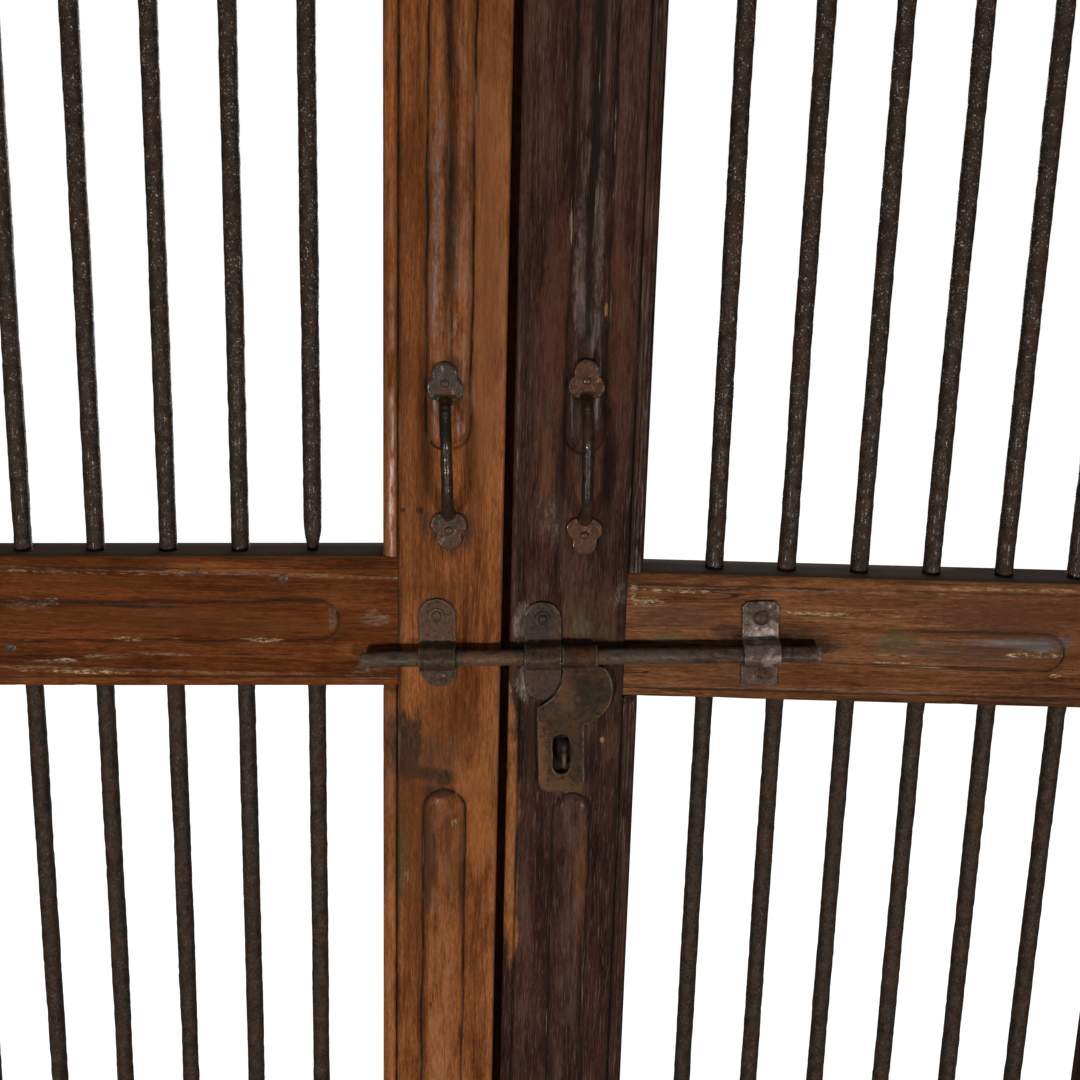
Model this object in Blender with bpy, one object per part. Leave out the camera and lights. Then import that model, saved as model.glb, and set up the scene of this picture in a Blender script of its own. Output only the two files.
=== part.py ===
"""A pair of framed timber doors, filled with round iron bars and shut by a sliding bolt with a padlock hasp.

Metres, +Z up, the front towards -Y.  The origin lies under the middle of the pair, at the foot of the leaves.
"""
import math

import bmesh
import bpy
from mathutils import Matrix, Vector

# Fits
FIT = 0.0003          # gap between pieces that touch
SINK = 0.001          # overlap of shapes that are fused into one piece
OVERRUN = 0.005       # how far a cut runs past the face that it opens

# Timber leaves
LEAF_HEIGHT = 2.03
THICKNESS = 0.045
MEETING_GAP = 0.007
LEFT_MEETING_STILE = 0.094
LEFT_HANGING_STILE = 0.105
RIGHT_MEETING_STILE = 0.104
RIGHT_HANGING_STILE = 0.095
TOP_RAIL = 0.105
LOCK_RAIL = 0.104
BOTTOM_RAIL = 0.16
LOCK_RAIL_CENTRE = 0.98
RAIL_SETBACK = 0.001  # rail faces lie behind the stile faces
ARRIS = 0.002
TENON_THICKNESS = 0.014
TENON_SHOULDER = 0.018
TENON_LENGTH = 0.052

# Worked edges: a groove and a rolled bead
STILE_MOULDING = 0.0125
STILE_ROLL = 0.006
RAIL_MOULDING = 0.0095
RAIL_ROLL = 0.004
MEETING_BEAD = 0.0085
MEETING_ROLL = 0.0045
GROOVE_WIDTH = 0.0015
GROOVE_DEPTH = 0.002
BEAD_DROP = 0.0006
BEAD_STEPS = 5

# Raised bands with round ends on the stiles and rails
BAND_HEIGHT = 0.0035
BAND_ROUND = 0.009
LEFT_BAND_WIDTH = 0.033
RIGHT_BAND_WIDTH = 0.029
LEFT_BAND_OFFSET = -0.0035
RIGHT_BAND_OFFSET = 0.002
BAND_ABOVE_RAIL = 0.096
BAND_BELOW_RAIL = 0.085
RAIL_BAND_WIDTH = 0.03
RAIL_BAND_INSET = 0.047
LOCK_BAND_GAP = 0.0148   # between the right staple and the band of the right lock rail
LOCK_BAND_END = 0.08

# Iron bars
BARS_PER_LEAF = 6
BAR_PITCH = 0.0578
BAR_DIAMETER = 0.0148
BAR_SEAT = 0.022
LOWER_BAR_SHIFT = 0.002  # the lower bars stand nearer to the meeting stiles
TANG_DIAMETER = 0.009
TANG_RISE = 0.008
TANG_TAPER = 0.016
BAR_SIDES = 12

# Strip that covers the meeting gap from behind
COVER_WIDTH = 0.034
COVER_LAP = 0.012
COVER_THICKNESS = 0.01
COVER_CHAMFER = 0.003
COVER_END_GAP = 0.012    # the strip stops short of the leaf's head and foot

# Pull handles
HANDLE_ABOVE_RAIL = 0.1433
HANDLE_SPAN = 0.121
HANDLE_REACH = 0.04
HANDLE_ROD = 0.0095
HANDLE_BEND = 0.028
HANDLE_FOOT_INSET = 0.0145
TREFOIL_CROWN = 0.010    # radius of the single lobe, and its middle beyond the plate's
TREFOIL_CROWN_RISE = 0.0068
TREFOIL_LOBE = 0.0085    # radius of the two side lobes, and their middles from the plate's
TREFOIL_LOBE_SIDE = 0.0058
TREFOIL_LOBE_DROP = 0.0048
TREFOIL_THICKNESS = 0.003
TREFOIL_POINTS = 36
ROD_SIDES = 10
BEND_STEPS = 5

# Sliding bolt and what guides it, along the bolt from the middle of the meeting gap
BOLT_DROP = 0.0168       # bolt axis below the middle of the lock rail, at the meeting gap
BOLT_TILT = math.radians(2.27)
BOLT_STANDOFF = 0.0115
BOLT_DIAMETER = 0.0128
BOLT_THROW = 0.114
BOLT_LENGTH = 0.364
BOLT_CHAMFER = 0.0012
BOLT_SIDES = 16
RUN_CLEARANCE = 0.0008
STAPLE_WIDTH = 0.029
STRAP_THICKNESS = 0.003
STAPLE_BORE_CLEARANCE = 0.0006
LEFT_STAPLE = -0.053
MIDDLE_STAPLE = 0.0305
BOLT_TAIL = 0.047        # bolt beyond the middle of the right staple
LEFT_STAPLE_RISE = 0.0466
LEFT_STAPLE_FALL = 0.0272
MIDDLE_STAPLE_RISE = 0.043
MIDDLE_STAPLE_FALL = 0.039
RIGHT_STAPLE_RISE = 0.041
RIGHT_STAPLE_FALL = 0.029
SQUARE_CORNER = 0.004
ARC_STEPS = 8
STAPLE_BOLT_SETBACK = 0.0135  # from the top of the staple down to its bolt
STAPLE_BOLT_SHANK = 0.007
STAPLE_BOLT_LENGTH = 0.034
STAPLE_BOLT_HEAD = 0.0125
STAPLE_BOLT_DOME = 0.0042
SMALL_SIDES = 12

# Hasp that hangs from the bolt, and the eye that its slot drops over
HASP_OFF_FACE = 0.0039
HASP_THICKNESS = 0.003
HASP_EYE_LENGTH = 0.0277
HASP_EYE_WALL = 0.0022
HASP_DROP = 0.118
HASP_LEFT = 0.0251
HASP_RIGHT = 0.0626
HASP_CORNER = 0.010
HASP_HOLLOW_RADIUS = 0.0305
HASP_HOLLOW_DROP = 0.015
HASP_BULGE_RADIUS = 0.0304
HASP_BULGE_REACH = 0.0859
HASP_BULGE_DROP = 0.03
HASP_SLOT_WIDTH = 0.013
HASP_SLOT_HEIGHT = 0.0345
HASP_SLOT_DROP = 0.0847
EYE_WIRE = 0.004
EYE_HEIGHT = 0.018
EYE_CLEAR = 0.0082       # room in the eye in front of the hasp
EYE_SIDE = 0.0025        # the eye stands to the right of the slot's middle
EYE_DEPTH = 0.02

# Butt hinges
HINGE_INSET = 0.28
HINGE_HEIGHT = 0.1
HINGE_PLATE_WIDTH = 0.036
HINGE_PLATE_THICKNESS = 0.003
HINGE_GAP = 0.003
HINGE_SETOUT = 0.0085
KNUCKLE_RADIUS = 0.0062
PIN_RADIUS = 0.0034
PIN_HEAD = 0.0052
PIN_HEAD_HEIGHT = 0.003
KNUCKLES = 3
SCREW_HOLE = 0.005
SCREW_HOLES = 3

# Finishes: colour, roughness and metallic value
WARM_TEAK = ((0.168, 0.062, 0.022), 0.55, 0.0)
BROWN_TEAK = ((0.105, 0.043, 0.018), 0.6, 0.0)
DARK_TEAK = ((0.040, 0.019, 0.011), 0.6, 0.0)
BAR_IRON = ((0.026, 0.019, 0.016), 0.55, 0.75)
DARK_IRON = ((0.030, 0.020, 0.015), 0.5, 0.8)
WORN_IRON = ((0.075, 0.052, 0.040), 0.45, 0.8)
HASP_IRON = ((0.062, 0.036, 0.020), 0.5, 0.75)

# Values worked out from the sizes above
OPENING = BAR_PITCH * (BARS_PER_LEAF + 1)
LEFT_WIDTH = LEFT_MEETING_STILE + OPENING + LEFT_HANGING_STILE
RIGHT_WIDTH = RIGHT_MEETING_STILE + OPENING + RIGHT_HANGING_STILE
MEETING_X = (LEFT_WIDTH - RIGHT_WIDTH) / 2
FACE_Y = (HANDLE_REACH - THICKNESS - FIT - COVER_THICKNESS) / 2
MIDDLE_Y = FACE_Y + THICKNESS / 2
BACK_Y = FACE_Y + THICKNESS
BOLT_RADIUS = BOLT_DIAMETER / 2
STAPLE_BORE = BOLT_RADIUS + STAPLE_BORE_CLEARANCE
RIGHT_STAPLE = BOLT_LENGTH - BOLT_THROW - BOLT_TAIL
RIGHT_RAIL_START = MEETING_GAP / 2 + RIGHT_MEETING_STILE - STILE_MOULDING + FIT
LOCK_BAND_INSET = RIGHT_STAPLE + STAPLE_WIDTH / 2 + LOCK_BAND_GAP - RIGHT_RAIL_START
HASP_EYE_START = MIDDLE_STAPLE + STAPLE_WIDTH / 2 + RUN_CLEARANCE
HASP_EYE_END = HASP_EYE_START + HASP_EYE_LENGTH
RAILS = {
    "top": (LEAF_HEIGHT - TOP_RAIL, LEAF_HEIGHT),
    "lock": (LOCK_RAIL_CENTRE - LOCK_RAIL / 2, LOCK_RAIL_CENTRE + LOCK_RAIL / 2),
    "bottom": (0.0, BOTTOM_RAIL),
}


def loft(rings):
    """Closed solid through rings of equally many points, with flat ends."""
    shape = bmesh.new()
    loops = [[shape.verts.new(point) for point in ring] for ring in rings]
    for lower, upper in zip(loops, loops[1:]):
        for i in range(len(lower)):
            following = (i + 1) % len(lower)
            shape.faces.new((lower[i], lower[following], upper[following], upper[i]))
    shape.faces.new(loops[0])
    shape.faces.new(loops[-1])
    bmesh.ops.recalc_face_normals(shape, faces=shape.faces)
    return shape


def prism(outline, near, far, place):
    """Outline of (a, b) points drawn out from c = near to c = far; place(a, b, c) gives the point."""
    return loft([[place(a, b, c) for a, b in outline] for c in (near, far)])


def block(low, high):
    """Box between two corners given in any order."""
    outline = [(low[0], low[1]), (high[0], low[1]), (high[0], high[1]), (low[0], high[1])]
    return prism(outline, low[2], high[2], lambda x, y, z: (x, y, z))


def circle(radius, sides, centre=(0.0, 0.0)):
    """Points of a regular polygon with a corner on its first axis."""
    angles = [2 * math.pi * i / sides for i in range(sides)]
    return [(centre[0] + radius * math.cos(a), centre[1] + radius * math.sin(a)) for a in angles]


def arc(centre, radius, start, end, steps):
    """Points along an arc, ends included, with angles in degrees."""
    angles = [math.radians(start + (end - start) * i / steps) for i in range(steps + 1)]
    return [(centre[0] + radius * math.cos(a), centre[1] + radius * math.sin(a)) for a in angles]


def stadium(half_length, radius, steps):
    """Outline with two round ends, long along its first axis."""
    right = arc((half_length, 0.0), radius, -90, 90, steps)
    left = arc((-half_length, 0.0), radius, 90, 270, steps)
    return right + left


def turned(profile, sides, place):
    """Solid of revolution from (radius, height) points; place(a, b, height) gives the point in space."""
    return loft([[place(a, b, height) for a, b in circle(radius, sides)] for radius, height in profile])


def tube(path, radius, sides, across):
    """Round rod along a path that lies in a plane; across is that plane's normal."""
    rings = []
    for i, point in enumerate(path):
        before = path[max(i - 1, 0)]
        after = path[min(i + 1, len(path) - 1)]
        side = (after - before).normalized().cross(across)
        rings.append([point + side * a + across * b for a, b in circle(radius, sides)])
    return loft(rings)


def joined(shapes):
    """Several separate shapes in one mesh."""
    whole = bmesh.new()
    for shape in shapes:
        mesh = bpy.data.meshes.new("shape")
        shape.to_mesh(mesh)
        shape.free()
        whole.from_mesh(mesh)
        bpy.data.meshes.remove(mesh)
    return whole


def own_material(name, finish):
    colour, roughness, metallic = finish
    material = bpy.data.materials.new(name)
    material.use_nodes = True
    shader = material.node_tree.nodes["Principled BSDF"]
    shader.inputs["Base Color"].default_value = (*colour, 1.0)
    shader.inputs["Roughness"].default_value = roughness
    shader.inputs["Metallic"].default_value = metallic
    return material


def piece(name, shape, finish, carrier):
    """Named object with its own material, parented to the empty of the body that it moves with."""
    mesh = bpy.data.meshes.new(name)
    shape.to_mesh(mesh)
    shape.free()
    mesh.materials.append(own_material(name, finish))
    made = bpy.data.objects.new(name, mesh)
    bpy.context.scene.collection.objects.link(made)
    made.parent = carrier
    made.matrix_parent_inverse = carrier.matrix_world.inverted()
    return made


def work(target, shapes, operation):
    """Fuse shapes to a piece (UNION), cut them out (DIFFERENCE) or keep what they share (INTERSECT)."""
    tool_mesh = bpy.data.meshes.new("tool")
    whole = joined(shapes)
    whole.to_mesh(tool_mesh)
    whole.free()
    tool = bpy.data.objects.new("tool", tool_mesh)
    bpy.context.scene.collection.objects.link(tool)
    modifier = target.modifiers.new("work", "BOOLEAN")
    modifier.operation = operation
    modifier.object = tool
    modifier.solver = "EXACT"
    view = bpy.context.evaluated_depsgraph_get()
    result = bpy.data.meshes.new_from_object(target.evaluated_get(view))
    target.modifiers.remove(modifier)
    before = target.data
    target.data = result
    result.name = before.name + "_worked"
    bpy.data.meshes.remove(before)
    bpy.data.objects.remove(tool)
    bpy.data.meshes.remove(tool_mesh)


def smooth(target):
    target.data.shade_smooth()
    target.data.set_sharp_from_angle(angle=math.radians(35))


def carrier(name, location, parent=None, tilt=0.0):
    """Empty on a joint's axis, which the pieces of that body follow."""
    empty = bpy.data.objects.new(name, None)
    bpy.context.scene.collection.objects.link(empty)
    matrix = Matrix.Translation(location) @ Matrix.Rotation(-tilt, 4, "Y")
    if parent is None:
        empty.matrix_world = matrix
    else:
        empty.parent = parent
        empty.matrix_parent_inverse = parent.matrix_world.inverted()
        empty.matrix_basis = matrix
    bpy.context.view_layer.update()
    return empty


class Leaf:
    """One door leaf; u runs from the middle of the meeting gap towards the hinges."""

    def __init__(self, name, side, meeting_stile, hanging_stile, band_width, band_offset, finishes):
        self.name = name
        self.side = side
        self.meeting_edge = MEETING_GAP / 2
        self.opening_start = self.meeting_edge + meeting_stile
        self.opening_end = self.opening_start + OPENING
        self.hinge_edge = self.opening_end + hanging_stile
        self.band_width = band_width
        self.band_u = self.meeting_edge + meeting_stile / 2 + band_offset
        self.stile_finish, self.rail_finish = finishes
        self.pin_u = self.hinge_edge + HINGE_GAP / 2
        self.body = carrier(name + "_leaf", (self.x(self.pin_u), FACE_Y - HINGE_SETOUT, 0.0))

    def x(self, u):
        return MEETING_X + self.side * u

    def box(self, u_range, depth_range, z_range):
        """Box in leaf terms: u from the meeting line, depth behind the front face, height."""
        low = (self.x(u_range[0]), FACE_Y + depth_range[0], z_range[0])
        high = (self.x(u_range[1]), FACE_Y + depth_range[1], z_range[1])
        return block(low, high)


def moulded_edge(width, roll):
    """Groove and rolled bead from the flat face (0, 0) to the edge (width, roll), as (distance, depth)."""
    points = [(0.0, 0.0), (0.0, GROOVE_DEPTH), (GROOVE_WIDTH, GROOVE_DEPTH)]
    for i in range(BEAD_STEPS + 1):
        turn = math.radians(90 * i / BEAD_STEPS)
        across = GROOVE_WIDTH + (width - GROOVE_WIDTH) * math.sin(turn)
        points.append((across, BEAD_DROP + (roll - BEAD_DROP) * (1 - math.cos(turn))))
    return points


def edged_outline(start, end, start_edge, end_edge, setback):
    """Cross-section from one edge to the other, as (position, depth): worked front edges and a plain back."""
    onward = 1 if end > start else -1
    first = [(start + onward * (start_edge[-1][0] - t), depth + setback) for t, depth in reversed(start_edge)]
    last = [(end - onward * (end_edge[-1][0] - t), depth + setback) for t, depth in end_edge]
    back = THICKNESS - setback
    rear_end = [(end, back - ARRIS), (end - onward * ARRIS, back)]
    rear_start = [(start + onward * ARRIS, back), (start, back - ARRIS)]
    return first + last + rear_end + rear_start


def band(length, width, place):
    """Raised band with round ends; place(along, across, out) gives the point in space."""
    rings = [[place(a, b, -SINK) for a, b in stadium(length / 2 - width / 2, width / 2, ARC_STEPS)]]
    for i in range(4):
        turn = math.radians(30 * i)
        inset = BAND_ROUND * (1 - math.cos(turn))
        outline = stadium(length / 2 - width / 2, width / 2 - inset, ARC_STEPS)
        rings.append([place(a, b, BAND_HEIGHT * math.sin(turn)) for a, b in outline])
    return loft(rings)


def stile_bands(leaf, centre_u, width):
    """One band beside the upper bars and one beside the lower bars."""
    spans = (
        (RAILS["bottom"][1] + BAND_BELOW_RAIL, RAILS["lock"][0] - BAND_BELOW_RAIL),
        (RAILS["lock"][1] + BAND_ABOVE_RAIL, RAILS["top"][0] - BAND_ABOVE_RAIL),
    )
    shapes = []
    for low, high in spans:
        middle = (low + high) / 2
        shapes.append(band(high - low, width, lambda along, across, out: (
            leaf.x(centre_u + across), FACE_Y - out, middle + along)))
    return shapes


def make_stile(leaf, name, plain_u, moulded_u, plain_edge, band_u, band_width):
    """Upright with a plain edge, a moulded edge notched for the rails, mortises and two raised bands."""
    outline = edged_outline(plain_u, moulded_u, plain_edge, moulded_edge(STILE_MOULDING, STILE_ROLL), 0.0)
    shape = prism(outline, 0.0, LEAF_HEIGHT, lambda u, depth, z: (leaf.x(u), FACE_Y + depth, z))
    stile = piece(leaf.name + "_" + name, shape, leaf.stile_finish, leaf.body)
    onward = 1 if moulded_u > plain_u else -1
    shoulder = moulded_u - onward * STILE_MOULDING
    notches = []
    mortises = []
    for which, (low, high) in RAILS.items():
        notch_low = -OVERRUN if which == "bottom" else low - FIT
        notch_high = LEAF_HEIGHT + OVERRUN if which == "top" else high + FIT
        beyond = moulded_u + onward * OVERRUN
        notches.append(leaf.box((shoulder, beyond), (-OVERRUN, THICKNESS + OVERRUN), (notch_low, notch_high)))
        half = TENON_THICKNESS / 2 + FIT
        bottom_of_mortise = shoulder - onward * (TENON_LENGTH + 2 * FIT)
        mortises.append(leaf.box(
            (bottom_of_mortise, shoulder + onward * SINK),
            (THICKNESS / 2 - half, THICKNESS / 2 + half),
            (low + TENON_SHOULDER - FIT, high - TENON_SHOULDER + FIT)))
    work(stile, stile_bands(leaf, band_u, band_width), "UNION")
    work(stile, notches, "DIFFERENCE")
    work(stile, mortises, "DIFFERENCE")
    return stile


def bar_places(leaf, level):
    """Distances of the bars of one level from the meeting line."""
    shift = LOWER_BAR_SHIFT if level == "lower" else 0.0
    return [leaf.opening_start + BAR_PITCH * (i + 1) - shift for i in range(BARS_PER_LEAF)]


def is_tang(leaf, level, number):
    """The upper bar beside the left meeting stile has a drawn-down foot."""
    return leaf.side < 0 and level == "upper" and number == 1


def seat_radius(leaf, level, number, end):
    if end == "foot" and is_tang(leaf, level, number):
        return TANG_DIAMETER / 2
    return BAR_DIAMETER / 2


def seats(leaf, level, end, z_range):
    """Blind holes for one end of a row of bars."""
    shapes = []
    for number, u in enumerate(bar_places(leaf, level), 1):
        radius = seat_radius(leaf, level, number, end) + FIT
        outline = circle(radius, BAR_SIDES, (leaf.x(u), MIDDLE_Y))
        shapes.append(prism(outline, z_range[0], z_range[1], lambda x, y, z: (x, y, z)))
    return shapes


def make_rail(leaf, which, band_span):
    """Cross rail with beaded edges, a tenon at each end, a raised band and holes for the bars."""
    low, high = RAILS[which]
    edge = moulded_edge(RAIL_MOULDING, RAIL_ROLL)
    outline = edged_outline(low, high, edge, edge, RAIL_SETBACK)
    start = leaf.opening_start - STILE_MOULDING + FIT
    end = leaf.opening_end + STILE_MOULDING - FIT
    shape = prism(outline, start, end, lambda z, depth, u: (leaf.x(u), FACE_Y + depth, z))
    rail = piece("%s_%s_rail" % (leaf.name, which), shape, leaf.rail_finish, leaf.body)
    depths = (THICKNESS / 2 - TENON_THICKNESS / 2, THICKNESS / 2 + TENON_THICKNESS / 2)
    heights = (low + TENON_SHOULDER, high - TENON_SHOULDER)
    additions = [
        leaf.box((start - TENON_LENGTH, start + SINK), depths, heights),
        leaf.box((end - SINK, end + TENON_LENGTH), depths, heights),
    ]
    band_start, band_end = start + band_span[0], end - band_span[1]
    middle = (band_start + band_end) / 2
    additions.append(band(band_end - band_start, RAIL_BAND_WIDTH, lambda along, across, out: (
        leaf.x(middle + along), FACE_Y + RAIL_SETBACK - out, (low + high) / 2 + across)))
    work(rail, additions, "UNION")
    if which != "bottom":
        level = "upper" if which == "top" else "lower"
        work(rail, seats(leaf, level, "head", (low - OVERRUN, low + BAR_SEAT)), "DIFFERENCE")
    if which != "top":
        level = "lower" if which == "bottom" else "upper"
        work(rail, seats(leaf, level, "foot", (high - BAR_SEAT, high + OVERRUN)), "DIFFERENCE")
    return rail


def make_bars(leaf):
    """Round bars between the rails, each end seated in a blind hole."""
    for level, below, above in (("upper", "lock", "top"), ("lower", "bottom", "lock")):
        foot = RAILS[below][1] - BAR_SEAT + FIT
        length = RAILS[above][0] + BAR_SEAT - FIT - foot
        full = BAR_DIAMETER / 2
        for number, u in enumerate(bar_places(leaf, level), 1):
            profile = [(full, 0.0), (full, length)]
            if is_tang(leaf, level, number):
                neck = BAR_SEAT - FIT + TANG_RISE
                thin = TANG_DIAMETER / 2
                profile = [(thin, 0.0), (thin, neck), (full, neck + TANG_TAPER), (full, length)]
            shape = turned(profile, BAR_SIDES, lambda a, b, height: (a, b, height))
            bar = piece("%s_%s_bar_%d" % (leaf.name, level, number), shape, BAR_IRON, leaf.body)
            bar.location = (leaf.x(u), MIDDLE_Y, foot)


def trefoil(upside):
    """Outline of three round lobes, the single one pointing along upside, about the plate's middle."""
    lobes = [
        (0.0, TREFOIL_CROWN_RISE, TREFOIL_CROWN),
        (-TREFOIL_LOBE_SIDE, -TREFOIL_LOBE_DROP, TREFOIL_LOBE),
        (TREFOIL_LOBE_SIDE, -TREFOIL_LOBE_DROP, TREFOIL_LOBE),
    ]
    points = []
    for i in range(TREFOIL_POINTS):
        angle = 2 * math.pi * i / TREFOIL_POINTS
        ray = Vector((math.cos(angle), math.sin(angle)))
        reach = 0.0
        for a, b, radius in lobes:
            along = ray.x * a + ray.y * b
            aside = abs(ray.x * b - ray.y * a)
            if aside < radius:
                reach = max(reach, along + math.sqrt(radius ** 2 - aside ** 2))
        points.append((ray.x * reach, ray.y * reach * upside))
    return points


def make_handle(leaf):
    """Forged pull: a bent rod between two trefoil plates, the upper one standing on the stile's band."""
    x = leaf.x(leaf.band_u)
    middle = RAILS["lock"][1] - LOCK_RAIL / 2 + HANDLE_ABOVE_RAIL
    seats_out = {1: BAND_HEIGHT + FIT, -1: FIT}
    plates = []
    for end, seat in seats_out.items():
        centre = middle + end * HANDLE_SPAN / 2
        near, far = FACE_Y - seat, FACE_Y - seat - TREFOIL_THICKNESS
        plates.append(prism(trefoil(end), near, far, lambda a, b, y: (x + a, y, centre + b)))
    grip_y = FACE_Y - HANDLE_REACH + HANDLE_ROD / 2
    foot = HANDLE_SPAN / 2 - HANDLE_FOOT_INSET
    path = []
    for end, seat in seats_out.items():
        leg = [(-(seat + SINK), foot)]
        corner = (grip_y - FACE_Y + HANDLE_BEND, foot - HANDLE_BEND)
        leg += arc(corner, HANDLE_BEND, 90, 180, ARC_STEPS)
        points = [Vector((x, FACE_Y + out, middle + end * up)) for out, up in leg]
        path += points if end > 0 else points[::-1]
    handle = piece(leaf.name + "_handle", tube(path, HANDLE_ROD / 2, ROD_SIDES, Vector((1.0, 0.0, 0.0))),
                   DARK_IRON, leaf.body)
    work(handle, plates, "UNION")


def hinge_levels():
    return {"bottom": HINGE_INSET, "top": LEAF_HEIGHT - HINGE_INSET}


def knuckle_spans(middle):
    """Heights of the knuckles of one hinge, from its foot up."""
    step = HINGE_HEIGHT / KNUCKLES
    foot = middle - HINGE_HEIGHT / 2
    return [(foot + step * i + FIT, foot + step * (i + 1) - FIT) for i in range(KNUCKLES)]


def make_hinge_plate(leaf, name, plate_u, knuckles, middle, body):
    """Flat plate with its share of the knuckles, bored for the pin and drilled for screws."""
    foot, head = middle - HINGE_HEIGHT / 2, middle + HINGE_HEIGHT / 2
    plate = piece(name, leaf.box(plate_u, (0.0, HINGE_PLATE_WIDTH), (foot, head)), DARK_IRON, body)
    centre = (leaf.x(leaf.pin_u), FACE_Y - HINGE_SETOUT)
    for low, high in knuckles:
        work(plate, [leaf.box(plate_u, (-HINGE_SETOUT, SINK), (low, high))], "UNION")
        barrel = prism(circle(KNUCKLE_RADIUS, SMALL_SIDES, centre), low, high, lambda x, y, z: (x, y, z))
        work(plate, [barrel], "UNION")
    bore = circle(PIN_RADIUS + FIT, SMALL_SIDES, centre)
    work(plate, [prism(bore, foot - OVERRUN, head + OVERRUN, lambda x, y, z: (x, y, z))], "DIFFERENCE")
    holes = []
    for i in range(SCREW_HOLES):
        z = foot + HINGE_HEIGHT * (i + 0.5) / SCREW_HOLES
        outline = circle(SCREW_HOLE / 2, SMALL_SIDES, (FACE_Y + HINGE_PLATE_WIDTH / 2, z))
        ends = (leaf.x(plate_u[0] - OVERRUN), leaf.x(plate_u[1] + OVERRUN))
        holes.append(prism(outline, ends[0], ends[1], lambda y, height, across: (across, y, height)))
    work(plate, holes, "DIFFERENCE")


def make_hinges(leaf, stile, jambs):
    """Two butt hinges let into the hanging stile; the jamb plates and pins stay with the wall."""
    for level, middle in hinge_levels().items():
        prefix = "%s_%s_hinge_" % (leaf.name, level)
        spans = knuckle_spans(middle)
        door_u = (leaf.hinge_edge - HINGE_PLATE_THICKNESS, leaf.hinge_edge)
        jamb_u = (leaf.hinge_edge + HINGE_GAP, leaf.hinge_edge + HINGE_GAP + HINGE_PLATE_THICKNESS)
        recess = leaf.box(
            (door_u[0] - FIT, door_u[1] + OVERRUN), (-OVERRUN, HINGE_PLATE_WIDTH + FIT),
            (middle - HINGE_HEIGHT / 2 - FIT, middle + HINGE_HEIGHT / 2 + FIT))
        work(stile, [recess], "DIFFERENCE")
        make_hinge_plate(leaf, prefix + "door_plate", door_u, spans[1::2], middle, leaf.body)
        make_hinge_plate(leaf, prefix + "jamb_plate", jamb_u, spans[0::2], middle, jambs)
        top = HINGE_HEIGHT
        profile = [(PIN_RADIUS, 0.0), (PIN_RADIUS, top), (PIN_HEAD, top), (PIN_HEAD, top + PIN_HEAD_HEIGHT)]
        pin = piece(prefix + "pin", turned(profile, SMALL_SIDES, lambda a, b, h: (a, b, h)), DARK_IRON, jambs)
        pin.location = (leaf.x(leaf.pin_u), FACE_Y - HINGE_SETOUT, middle - HINGE_HEIGHT / 2)


def on_bolt(along, up, out):
    """Point in the bolt's own directions: along its axis, square to it up the door, and out from the face."""
    x = along * math.cos(BOLT_TILT) - up * math.sin(BOLT_TILT)
    z = along * math.sin(BOLT_TILT) + up * math.cos(BOLT_TILT)
    return (MEETING_X + x, FACE_Y - out, LOCK_RAIL_CENTRE - BOLT_DROP + z)


def rounded_plate(rise, fall, square):
    """Face outline of a staple about its own middle: round ends, or square ones with clipped corners."""
    half = STAPLE_WIDTH / 2
    if square:
        cut = SQUARE_CORNER
        upper = [(half, rise - cut), (half - cut, rise), (cut - half, rise), (-half, rise - cut)]
        return [(half, -fall)] + upper + [(-half, -fall)]
    head = arc((0.0, rise - half), half, 0, 180, ARC_STEPS)
    foot = arc((0.0, half - fall), half, 180, 360, ARC_STEPS)
    return head + foot


def make_staple(name, along, rise, fall, square, face, leaf, finish, held):
    """Strap bent over the bolt, flat on the timber above and below, with a round-headed bolt at its top."""
    outer = STAPLE_BORE + STRAP_THICKNESS
    under, over = face + FIT, face + FIT + STRAP_THICKNESS
    inside = [(rise, under), (STAPLE_BORE, under)]
    inside += arc((0.0, BOLT_STANDOFF), STAPLE_BORE, 0, 180, ARC_STEPS)
    inside += [(-STAPLE_BORE, under), (-fall, under)]
    outside = [(-fall, over), (-outer, over)]
    outside += arc((0.0, BOLT_STANDOFF), outer, 180, 0, ARC_STEPS)
    outside += [(outer, over), (rise, over)]
    half = STAPLE_WIDTH / 2
    strap = prism(inside + outside, along - half, along + half, lambda up, out, u: on_bolt(u, up, out))
    staple = piece(name, strap, finish, leaf.body)
    limits = (face - OVERRUN, BOLT_STANDOFF + outer + OVERRUN)
    outline = rounded_plate(rise, fall, square)
    cutter = prism(outline, limits[0], limits[1], lambda a, b, out: on_bolt(along + a, b, out))
    work(staple, [cutter], "INTERSECT")
    level = rise - STAPLE_BOLT_SETBACK

    def at_bolt(a, b, out):
        return on_bolt(along + a, level + b, out)

    shank = STAPLE_BOLT_SHANK / 2
    end = face - STAPLE_BOLT_LENGTH
    hole = circle(shank + FIT, SMALL_SIDES)
    for target in [staple] + held:
        work(target, [prism(hole, end - FIT, over + OVERRUN, at_bolt)], "DIFFERENCE")
    seat = over + FIT
    head = STAPLE_BOLT_HEAD / 2
    profile = [(shank, end), (shank, seat), (head, seat)]
    for turn in (15, 45, 75):
        angle = math.radians(turn)
        profile.append((head * math.cos(angle), seat + STAPLE_BOLT_DOME * math.sin(angle)))
    piece(name + "_bolt", turned(profile, SMALL_SIDES, at_bolt), DARK_IRON, leaf.body)


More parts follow.
